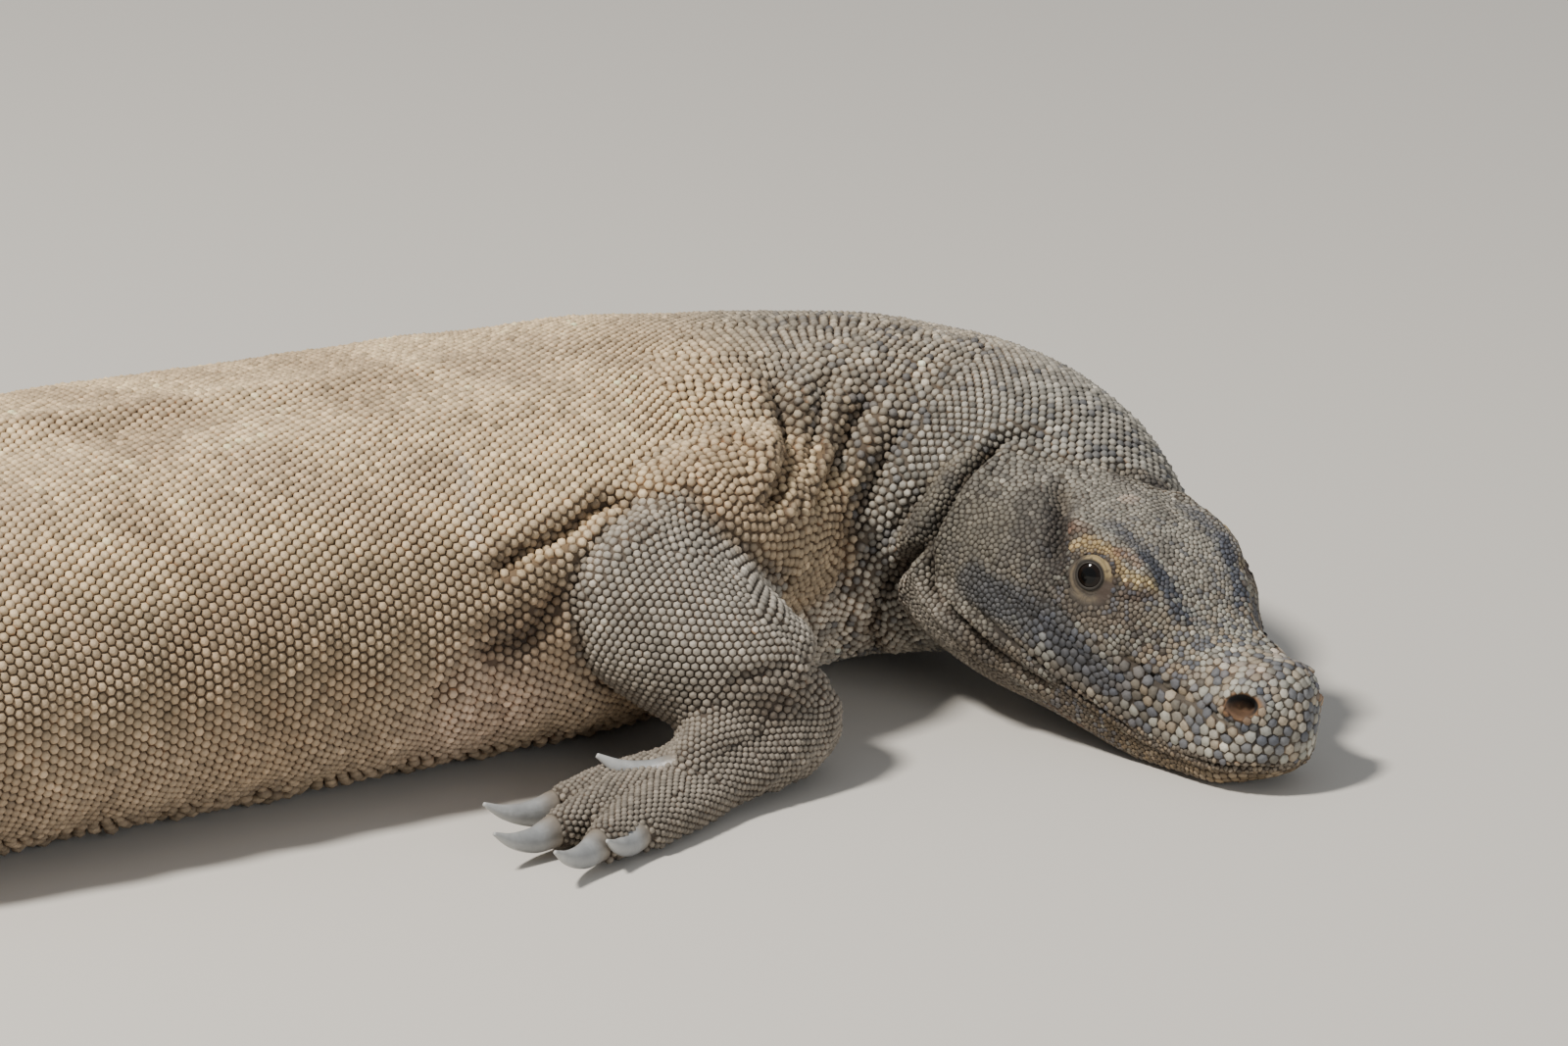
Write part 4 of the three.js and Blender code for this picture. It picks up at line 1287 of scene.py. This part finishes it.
# Each in turn: the spacing, and how far the skin there takes it
spacings = (
    (scaleLook["neck"], onSpine * smooth(4.6, 3.2, row)),
    (scaleLook["nape"], onSpine * smooth(2.0, 0.8, row)),
    (scaleLook["tail"], onSpine * smooth(11, 13, row)),
    (scaleLook["tailTip"], onSpine * smooth(15, 19.5, row)),
    (scaleLook["belly"], onSpine * smooth(22, 8, skin[:, 2]) * smooth(4.5, 6, row) * smooth(12, 11, row)),
    (scaleLook["back"], onHead * smooth(126, 150, sb)),
    (scaleLook["jowl"], onHead * smooth(105, 122, sb) * smooth(46, 38, su)),
    (scaleLook["snout"], onHead * smooth(60, 44, sb)),
    (scaleLook["upperLip"], onHead * smooth(92, 74, sb) * smooth(2.5, 4.5, overLip) * smooth(15, 11, su)),
    (scaleLook["cheek"], onHead * smooth(84, 92, sb) * smooth(128, 112, sb) * smooth(-3, 2, overLip)
        * smooth(20, 12, su)),
    (scaleLook["mouthEdge"], onHead * smooth(3.4, 2.4, overLip) * smooth(120, 100, sb)),
    (scaleLook["lowerLip"], onHead * smooth(-2, -4, overLip) * smooth(46, 34, sb)),
    (scaleLook["throat"], onHead * smooth(-14, -22, overLip)),
    (scaleLook["brow"], onHead
        * smooth(0.0, 1.0, smooth(16, 11, np.hypot(sb - 98, su - 38)) * (np.abs(sr) > 18))),
    (scaleLook["lids"], smooth(14, 10, nearEye)),
    (scaleLook["nostril"], smooth(9.5, 7.5, np.hypot((sb - nb) / 1.2, su - nu)) * onHead
        * (np.abs(sr) > 10)),
)
for value, amount in spacings:
    pitch = pitch + (value - pitch) * np.clip(amount, 0, 1)
mouthAway, _ = nearLine(np.stack([sb, np.abs(sr), su], axis=1), mouthLine)
covered = (skin[:, 2] > 1.6) & (opening < 0.35) & (nostrilDark < 0.5)
covered &= ~((normals[:, 2] < -0.8) & (skin[:, 2] < 4))
covered &= ~((mouthAway < 1.25) & (onHead > 0.5))
covered &= lidBeyond > lids["bare"]


rowStep = 0.866  # of the spacing, from one row of scales to the next
spineSpacing = ((0, 4, 5, 11, 13, 19), (4.0, 4.0, 4.1, 4.1, 4.6, 3.3))  # at these rows of the spine


# Rows round one shape, each half a step on from the last, dropped on the part of the skin that is allowed
def latticeOn(number, allowed, swell=0.0, loft=None):
    entry = shapes[number]
    loft = loft or entry["loft"]
    t, run = loft.length()
    if entry["kind"] == "spine":
        gap = rowStep * np.interp(t, *spineSpacing)
    else:
        gap = np.full(len(t), rowStep * scaleLook[entry["kind"]])
    # Rings are set by the outside of each bend
    turn = np.linspace(-0.3, math.pi + 0.3, 13)
    reach = [loft.surface(t, np.full(len(t), angle), swell=swell) for angle in turn]
    longest = np.max([np.linalg.norm(np.diff(p, axis=0), axis=1) for p in reach], axis=0)
    stretch = longest / np.maximum(np.diff(run), 1e-9)
    stretch = np.clip(stretch, 0.8, 2.2)
    if len(stretch) > 200:
        stretch = np.convolve(stretch, np.ones(41) / 41, "same")
    rings = np.concatenate([[0], np.cumsum(np.diff(run) * np.maximum(stretch, 1) / gap[1:])])
    stopsHere = np.interp(np.arange(0, rings[-1], 1.0), rings, t)
    made = []
    fine = np.linspace(-math.pi / 2, 1.5 * math.pi, 241)
    for k, stop in enumerate(stopsHere):
        ring = loft.surface(np.full(len(fine), stop), fine, swell=swell)
        length = np.concatenate([[0], np.cumsum(np.linalg.norm(np.diff(ring, axis=0), axis=1))])
        top = np.interp(math.pi / 2, fine, length)
        step = float(np.interp(stop, t, gap)) / rowStep
        count = max(5, int(length[-1] / step))
        places = top + (np.arange(-count, count + 1) + 0.5 * (k % 2)) * step
        places = places[(places > 0) & (places < length[-1])]
        angle = np.interp(places, length, fine)
        made.append(loft.surface(np.full(len(angle), stop), angle, swell=swell))
    made = np.concatenate(made)
    place, _, corner = onSkin(made)
    ok = (np.linalg.norm(place - made, axis=1) < 9 + 2.2 * swell) & allowed[corner] & covered[corner]
    return place[ok], corner[ok]


# The numbers of each two points that are nearer than radius, and how far apart they are
def pairsWithin(points, radius):
    cell = np.floor((points - points.min(0)) / radius).astype(np.int64) + 1
    size = cell.max(0) + 2
    key = (cell[:, 0] * size[1] + cell[:, 1]) * size[2] + cell[:, 2]
    order = np.argsort(key, kind="stable")
    ranked = key[order]
    firsts, seconds, gaps = [], [], []
    for dx, dy, dz in itertools.product((0, 1), (-1, 0, 1), (-1, 0, 1)):
        if (dx, dy, dz) < (0, 0, 0):
            continue
        other = key + (dx * size[1] + dy) * size[2] + dz
        start = np.searchsorted(ranked, other, "left")
        count = np.searchsorted(ranked, other, "right") - start
        a = np.repeat(np.arange(len(points)), count)
        within = np.arange(count.sum()) - np.repeat(np.cumsum(count) - count, count)
        c = order[np.repeat(start, count) + within]
        away = np.linalg.norm(points[a] - points[c], axis=1)
        keep = away < radius
        if (dx, dy, dz) == (0, 0, 0):
            keep &= a < c
        firsts.append(a[keep])
        seconds.append(c[keep])
        gaps.append(away[keep])
    return np.concatenate(firsts), np.concatenate(seconds), np.concatenate(gaps)


uppers = [n for n, entry in enumerate(shapes) if entry["kind"] == "upper"]
elbow = [entry["name"] for entry in shapes].index("right_front_lower")
armSkin = (forearm > 0.5) & np.isin(skinShape, [elbow, *uppers, 0])
laid = []
for number, entry in enumerate(shapes):
    if entry["kind"] not in ("head", "upper") and number != elbow:
        laid.append(latticeOn(number, (skinShape == number) & ~armSkin))
longer = Loft([[-86, -33, 98, 38, 36, 37], *legs["right_front"]["lower"]], inset=1.5)
laid.append(latticeOn(elbow, armSkin | (skinShape == elbow), loft=longer))
# The rows of the trunk run on over the shoulders and thighs
laid.append(latticeOn(0, np.isin(skinShape, uppers) & ~armSkin, swell=20.0))

# Larger scales in rows along the lips
lipRows = []
for side in (1, -1):
    lengths = np.concatenate([[0], np.cumsum(np.linalg.norm(np.diff(mouthLine, axis=0), axis=1))])
    for lift, start in ((4.6, 2.0), (8.6, 4.4)):
        stop = np.arange(start, lengths[-1] - 22, scaleLook["lips"])
        at = np.stack([np.interp(stop, lengths, mouthLine[:, k]) for k in range(3)], axis=1)
        lipRows.append(np.array([inHead(p[0], side * (p[1] + 1.5), p[2] + lift) for p in at]))
place, _, corner = onSkin(np.concatenate(lipRows))
ok = covered[corner]
place = np.concatenate([place[ok], *(found[0] for found in laid)])
corner = np.concatenate([corner[ok], *(found[1] for found in laid)])
print("lattice", len(place))


# Of two scales nearer than this share of their spacing, the earlier is kept
def thinned(place, corner, share):
    first, second, gap = pairsWithin(place, 7)
    limit = share * 0.5 * (pitch[corner[first]] + pitch[corner[second]])
    close = np.flatnonzero(gap < limit)
    close = close[np.lexsort((np.maximum(first[close], second[close]),
        np.minimum(first[close], second[close])))]
    alive = np.ones(len(place), dtype=bool)
    for i, j in zip(first[close].tolist(), second[close].tolist()):
        i, j = min(i, j), max(i, j)
        if alive[i] and alive[j]:
            alive[j] = False
    return place[alive], corner[alive]


# More scales wherever the skin is still bare
def filled(place, corner, share):
    tree = KDTree(len(place))
    for i, p in enumerate(place.tolist()):
        tree.insert(p, i)
    tree.balance()
    options = np.flatnonzero(covered)
    gap = np.array([tree.find(p)[2] for p in skin[options].tolist()])
    options = options[gap > share * pitch[options]]
    options = options[rng.permutation(len(options))]
    cells = {}
    chosen = []
    size = 4.0
    for i in options.tolist():
        p = tuple(skin[i].tolist())
        limit = share * pitch[i]
        key = tuple(int(v // size) for v in p)
        steps = range(-1, 2) if limit <= size else range(-2, 3)
        close = (
            q
            for dx, dy, dz in itertools.product(steps, repeat=3)
            for q in cells.get((key[0] + dx, key[1] + dy, key[2] + dz), ())
        )
        if all((p[0] - q[0]) ** 2 + (p[1] - q[1]) ** 2 + (p[2] - q[2]) ** 2
            >= limit * limit for q in close):
            cells.setdefault(key, []).append(p)
            chosen.append(i)
    return np.concatenate([place, skin[chosen]]), np.concatenate([corner, chosen])


# Scales that crowd one another push apart along the skin
def relaxed(place, corner, rounds):
    for _ in range(rounds):
        first, second, gap = pairsWithin(place, 6.5)
        want = 0.54 * (pitch[corner[first]] + pitch[corner[second]])
        push = np.where(gap < want, 0.3 * (want - gap), 0)
        way = unit(place[first] - place[second]) * push[:, None]
        shift = np.zeros_like(place)
        for axis in range(3):
            shift[:, axis] += np.bincount(first, way[:, axis], len(place))
            shift[:, axis] -= np.bincount(second, way[:, axis], len(place))
        length = np.linalg.norm(shift, axis=1)
        shift *= (np.minimum(length, 0.25 * pitch[corner]) / np.maximum(length, 1e-9))[:, None]
        place, _, corner = onSkin(place + shift)
        ok = covered[corner]
        place, corner = place[ok], corner[ok]
    return place, corner


place, corner = thinned(place, corner, 0.76)
place, corner = filled(place, corner, 0.74)
print("filled", len(place))
place, corner = relaxed(place, corner, 4)
place, corner = thinned(place, corner, 0.5)
place, faceAt, corner = onSkin(place)
print("scales", len(place))

# The scales
sides = 6
normal = normals
for _ in range(2):
    normal = unit(0.5 * normal + 0.5 * spread(normal))
normal = normal[corner]
# Ahead runs down the body, or down the limb, so that rows stay square to it
spineAhead = unit(along(np.array(spineRows, dtype=float), np.linspace(0, 20, 401))[1][:, :3])
ahead = spineAhead[np.clip(np.round(row[corner] * 20).astype(int), 0, 400)]
for number, entry in enumerate(shapes):
    if number == 0:
        continue
    mine = skinShape[corner] == number
    value, slope = along(entry["loft"].rows,
        np.interp(skinRing[corner[mine]], np.arange(len(entry["stops"])), entry["stops"]))
    ahead[mine] = unit(slope[:, :3])
ahead = unit(ahead - normal * (ahead * normal).sum(1, keepdims=True))
across = np.cross(normal, ahead)

own = pitch[corner]
first, second, gap = pairsWithin(place, 13)
a = np.concatenate([first, second])
c = np.concatenate([second, first])
gap = np.concatenate([gap, gap])
close = gap < 2.3 * own[a]
a, c, gap = a[close], c[close], gap[close]
facing = (normal[a] * normal[c]).sum(1) > -0.2
a, c, gap = a[facing], c[facing], gap[facing]
way = place[c] - place[a]
wx, wy = (way * ahead[a]).sum(1), (way * across[a]).sum(1)
flat = np.maximum(np.hypot(wx, wy), 1e-6)
bound = gap * own[a] / (own[a] + own[c])
turn = 2 * math.pi * np.arange(sides) / sides
radius = np.tile((0.74 * own)[:, None], (1, sides))
for k in range(sides):
    lies = (wx * math.cos(turn[k]) + wy * math.sin(turn[k])) / flat
    reach = np.where(lies > 0.2, bound / np.maximum(lies, 0.2), 1e9)
    np.minimum.at(radius[:, k], a, reach)
radius = np.maximum(radius, 0.2 * own[:, None])
even = radius.mean(1, keepdims=True)
headShare, spineShare = onHead[corner], onSpine[corner]
neckShare = spineShare * smooth(4.8, 3.0, row[corner])
roundness = (0.4 + 0.25 * neckShare - 0.15 * headShare)[:, None]
radius = radius + (np.minimum(even, radius * 1.15) - radius) * roundness
radius = radius - (0.035 + 0.02 * neckShare - 0.02 * headShare)[:, None] * own[:, None]

rise = 0.5 + 0.06 * neckShare - 0.3 * headShare - 0.03 * (onLower + onHand)[corner]
rise *= 0.8 + 0.4 * rng.random(len(place))
height = rise * 2 * radius.mean(1)

# One piece: a sunk ring, a shoulder ring and a tip
cosines, sines = np.cos(turn), np.sin(turn)


def ringAt(share, lift, back):
    out = radius * np.reshape(share, (-1, 1))
    outwards = ahead[:, None] * (cosines * out)[:, :, None] + across[:, None] * (sines * out)[:, :, None]
    raised = normal[:, None] * lift[:, None, None]
    return place[:, None] + outwards + raised - ahead[:, None] * (back * own)[:, None, None]


base = ringAt(1.05 + 0.04 * headShare, -0.5 + 0.2 * headShare, 0)
shoulder = ringAt(0.79 + 0.1 * headShare, (0.68 + 0.1 * headShare) * height, 0.02)
tip = (place + normal * height[:, None] - ahead * (0.05 * own)[:, None])[:, None]
scalePoints = np.concatenate([base, shoulder, tip], axis=1)
scalePoints[:, :, 2] = np.maximum(scalePoints[:, :, 2], 0.15)
k = np.arange(sides)
n = (k + 1) % sides
oneScale = np.concatenate(
    [
        np.stack([k, n, sides + n], axis=1),
        np.stack([k, sides + n, sides + k], axis=1),
        np.stack([sides + k, sides + n, np.full(sides, 2 * sides)], axis=1),
    ]
)
tips = 2 * sides + 1

# Colour: the markings at the root, and each scale a little of its own
scaleColour = markingsAt(place, normal, corner)
tint = rng.normal(0, 1, len(place))
paler = rng.random(len(place))
onSnout = headShare * smooth(90, 60, sb[corner])
onFace = headShare * smooth(150, 100, sb[corner])
overMouth = overLip[corner] > 2.5
scaleColour *= np.exp((0.16 + 0.1 * neckShare + 0.06 * headShare + 0.06 * onSnout) * tint)[:, None]
x, y, z = place.T
patches = np.sin(x / 7 + np.sin(y / 5)) * np.sin(y / 8 + z / 6)
kind = paler + 0.18 * patches
ownColours = (
    ((0.36, 0.355, 0.30), (kind > 0.82) * 0.55 * onSnout * overMouth
        + (kind > 0.92) * 0.35 * onFace * (1 - onSnout)),
    ((0.075, 0.083, 0.105), (kind < 0.34) * 0.75 * onSnout * overMouth
        + (kind < 0.15) * 0.5 * onFace * (1 - onSnout)),
    ((0.30, 0.23, 0.15), (np.abs(kind - 0.6) < 0.09) * 0.6 * onSnout),
    ((0.44, 0.42, 0.37), (kind > 0.95) * 0.35 * neckShare),
    ((0.07, 0.075, 0.09), (kind < 0.12) * 0.6 * neckShare),
)
for colour, amount in ownColours:
    scaleColour += (np.array(colour) - scaleColour) * np.clip(amount, 0, 1)[:, None]
scaleColour = np.clip(scaleColour, 0.01, 0.85)
rootUv = skinMiddle[faceAt]

turnUv = np.concatenate([turn, turn, [0]])
reachUv = np.concatenate([np.full(sides, 0.0015), np.full(sides, 0.0011), [0]])
localUv = np.stack([np.cos(turnUv) * reachUv, np.sin(turnUv) * reachUv], axis=1)
riseAt = np.concatenate([np.zeros(sides), np.full(sides, 0.72), [1.0]])
scaleObjects = []
group = np.arange(len(place)) % scaleLook["pieces"]
group = rng.permutation(group)
for g in range(scaleLook["pieces"]):
    mine = np.flatnonzero(group == g)
    points = scalePoints[mine].reshape(-1, 3)
    facesHere = (oneScale[None] + (np.arange(len(mine)) * tips)[:, None, None]).reshape(-1, 3)
    thing = meshObject(f"scales_{g + 1}", points, [facesHere])
    uv = (rootUv[mine][:, None] + localUv[None]).reshape(-1, 2)
    addUv(thing.data, uv[facesHere.ravel()])
    addColour(thing.data, "tone", np.repeat(scaleColour[mine], tips, axis=0))
    addNumber(thing.data, "rise", np.tile(riseAt, len(mine)))
    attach(thing, "root")
    scaleObjects.append(thing)
print("scale triangles", len(place) * len(oneScale), "each piece",
    max(len(o.data.polygons) for o in scaleObjects))

# Hide
hide = Graph("hide")
tone = hide.attribute("tone", "Color")
bare = hide.attribute("bare")
where = hide.place()
mottle = hide.noise(where, 90, 4)
# Skin under the scales, seen in the gaps, darker than where it is bare: partly its own darker colour,
# partly painted shade in the gaps
under = hide.mix(bare * 0.9 + 0.1, tone * (0.22, 0.175, 0.14), tone)
under = under * (mottle * 0.6 + 0.7)
skinObject.data.materials.append(hide.finish(under, 0.85, (hide.noise(where, 420, 3), 0.0006)))

scaleGraph = Graph("scales")
tone = scaleGraph.attribute("tone", "Color")
rise = scaleGraph.attribute("rise")
where = scaleGraph.place()
grain = scaleGraph.noise(where, 620, 4, 0.65)
dirt = scaleGraph.noise(where, 55, 4)
flecks = scaleGraph.noise(where, 230, 2)
# Each scale darker down its sides to the groove and paler on top: partly dust on the tops and dark skin
# between, partly painted shade in the grooves
low = tone * (0.27, 0.205, 0.15)
low = scaleGraph.mix(scaleGraph.ramp(flecks, 0.56, 0.68) * 0.5, low, tone * (0.85, 0.52, 0.3))
top = tone * (grain * 0.9 + 0.58)
colour = scaleGraph.mix(scaleGraph.ramp(rise + dirt * 0.5 - grain * 0.2, 0.22, 0.95), low, top)
scaleMaterial = scaleGraph.finish(colour, 0.66, (grain, 0.0005))
for thing in scaleObjects:
    thing.data.materials.append(scaleMaterial)

print("hide and scales painted")

# Claws
clawLook = {"base": (0.20, 0.17, 0.135), "horn": (0.27, 0.275, 0.275), "point": (0.40, 0.40, 0.385)}
clawGraph = Graph("claw")
run = clawGraph.attribute("run")
where = clawGraph.place()
streaks = clawGraph.noise(where, 260, 4)
horn = clawGraph.mix(clawGraph.ramp(run, 0.0, 0.35), clawLook["base"], clawLook["horn"])
horn = clawGraph.mix(clawGraph.ramp(run, 0.45, 1.0), horn, clawLook["point"])
horn = horn * (streaks * 0.5 + 0.74)
clawMaterial = clawGraph.finish(horn, streaks * 0.3 + 0.25, (streaks, 0.0003))
for legName, leg in legs.items():
    for i, rows in enumerate(leg["foot"]["digits"]):
        rowsHere = clawRows(rows, leg["foot"]["claws"][i])
        loft = Loft(rowsHere, square=2.0, inset=0.15)
        points, quads, caps, stopsHere = loft.tube(0.8, 20)
        thing = meshObject(f"{legName}_claw_{i + 1}_fine", points, [quads, caps])
        run = np.repeat(stopsHere / 3, 20)
        addNumber(thing.data, "run", np.concatenate([run, [0, 1]]))
        thing.data.materials.append(clawMaterial)
        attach(thing, "root")
        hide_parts(f"{legName}_claw_{i + 1}")

# Eyes and the rims of the lids
eyeLook = {
    "iris": (0.010, 0.006, 0.004),
    "pupil": (0.003, 0.003, 0.003),
    "pupilRadius": 3.2,
    "irisRadius": 4.6,
    "rim": (0.03, 0.024, 0.018),
}
eyeGraph = Graph("eye")
out = eyeGraph.attribute("out")
where = eyeGraph.place()
iris = eyeGraph.mix(eyeGraph.noise(where, 1500, 3), (0.008, 0.005, 0.004), eyeLook["iris"])
ball = eyeGraph.mix(
    eyeGraph.ramp(out, eyeLook["pupilRadius"] - 0.2, eyeLook["pupilRadius"] + 0.2), eyeLook["pupil"], iris
)
ball = eyeGraph.mix(eyeGraph.ramp(out, eyeLook["irisRadius"] - 0.3, eyeLook["irisRadius"] + 0.5), ball,
    (0.008, 0.007, 0.006))
eyeMaterial = eyeGraph.finish(ball, 0.1, Specular_IOR_Level=0.25)
rimGraph = Graph("lid rim")
where = rimGraph.place()
rimMaterial = rimGraph.finish(rimGraph.mix(rimGraph.noise(where, 900, 3), (0.03, 0.024, 0.018),
    eyeLook["rim"]), 0.6)

for side, centre, out, ahead, lift in eyeInfo:
    across, down = 56, 32
    turns = 2 * math.pi * np.arange(across) / across
    tilt = np.linspace(0, math.pi, down + 1)[1:-1]
    ringCos, ringSin = np.cos(tilt)[:, None, None], np.sin(tilt)[:, None, None]
    spokes = np.cos(turns)[None, :, None] * ahead + np.sin(turns)[None, :, None] * lift
    size = head["eyeRadius"] - 0.05
    points = (centre + size * (ringCos * out + ringSin * spokes)).reshape(-1, 3)
    points = np.concatenate([points, [centre + size * out, centre - size * out]])
    quads, caps = tubeFaces(down - 1, across)
    if side > 0:
        quads, caps = quads[:, ::-1], caps[:, ::-1]
    name = "right_eye" if side > 0 else "left_eye"
    ballObject = meshObject(name + "_fine", points, [quads, caps])
    off = points - centre
    addNumber(ballObject.data, "out",
        np.where(off @ out > 0, np.linalg.norm(off - np.outer(off @ out, out), axis=1), 9))
    ballObject.data.materials.append(eyeMaterial)
    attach(ballObject, "root")
    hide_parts(name)

    # the wet edge of the lids, a thin roll round the opening
    count = 72
    turns = 2 * math.pi * np.arange(count) / count
    edge = lidEdge(turns)
    outward = np.cos(turns)[:, None] * ahead + np.sin(turns)[:, None] * lift
    ray = np.cos(edge)[:, None] * out + np.sin(edge)[:, None] * outward
    middle = centre + (head["eyeRadius"] + 0.25) * ray
    sideways = unit(outward - ray * (ray * outward).sum(1, keepdims=True))
    rolls = 10
    bend = 2 * math.pi * np.arange(rolls) / rolls
    points = middle[:, None] + lids["rim"] * (
        np.cos(bend)[None, :, None] * ray[:, None] + 1.3 * np.sin(bend)[None, :, None] * sideways[:, None]
    )
    grid = np.arange(count * rolls).reshape(count, rolls)
    quads = np.stack(
        [grid, np.roll(grid, -1, axis=1), np.roll(np.roll(grid, -1, axis=0), -1, axis=1),
            np.roll(grid, -1, axis=0)], axis=-1
    ).reshape(-1, 4)
    rim = meshObject(("right" if side > 0 else "left") + "_lid_rim", points.reshape(-1, 3),
        [quads if side > 0 else quads[:, ::-1]])
    rim.data.materials.append(rimMaterial)
    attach(rim, "root")

print("claws, eyes and lids")

# Floor, light and camera
floorMesh = bpy.data.meshes.new("floor")
floorMesh.from_pydata([(-9, -9, 0), (9, -9, 0), (9, 9, 0), (-9, 9, 0)], [], [(0, 1, 2, 3)])
floor = bpy.data.objects.new("floor", floorMesh)
bpy.context.scene.collection.objects.link(floor)
floorGraph = Graph("floor")
floorMesh.materials.append(floorGraph.finish((0.62, 0.59, 0.54), 0.9))

studio = {
    "lens": 180,  # mm
    "camera": (0.8177, -2.8775, 0.990),  # m
    "tilt": 17,  # degrees down
    "sky": (0.93, 0.96, 1.0),
    "skyStrength": 0.36,
}
world = bpy.data.worlds.new("studio")
bpy.context.scene.world = world
world.use_nodes = True
world.node_tree.nodes["Background"].inputs[0].default_value = (*studio["sky"], 1)
world.node_tree.nodes["Background"].inputs[1].default_value = studio["skyStrength"]


def softLight(name, place, target, size, power, colour):
    data = bpy.data.lights.new(name, "AREA")
    data.shape = "DISK"
    data.size = size
    data.energy = power
    data.color = colour
    lamp = bpy.data.objects.new(name, data)
    lamp.location = place
    lamp.rotation_mode = "QUATERNION"
    lamp.rotation_quaternion = (Vector(target) - Vector(place)).to_track_quat("-Z", "Y")
    bpy.context.scene.collection.objects.link(lamp)


softLight("key", (-0.9, -1.0, 2.9), (0.9, 0, 0.05), 0.5, 180, (1.0, 0.96, 0.9))
softLight("fill", (2.6, -2.6, 0.8), (0.9, 0, 0.05), 1.6, 30, (0.92, 0.96, 1.0))

cameraData = bpy.data.cameras.new("camera")
cameraData.lens = studio["lens"]
cameraData.sensor_width = 36
camera = bpy.data.objects.new("camera", cameraData)
camera.location = studio["camera"]
camera.rotation_euler = (math.radians(90 - studio["tilt"]), 0, 0)
bpy.context.scene.collection.objects.link(camera)
bpy.context.scene.camera = camera
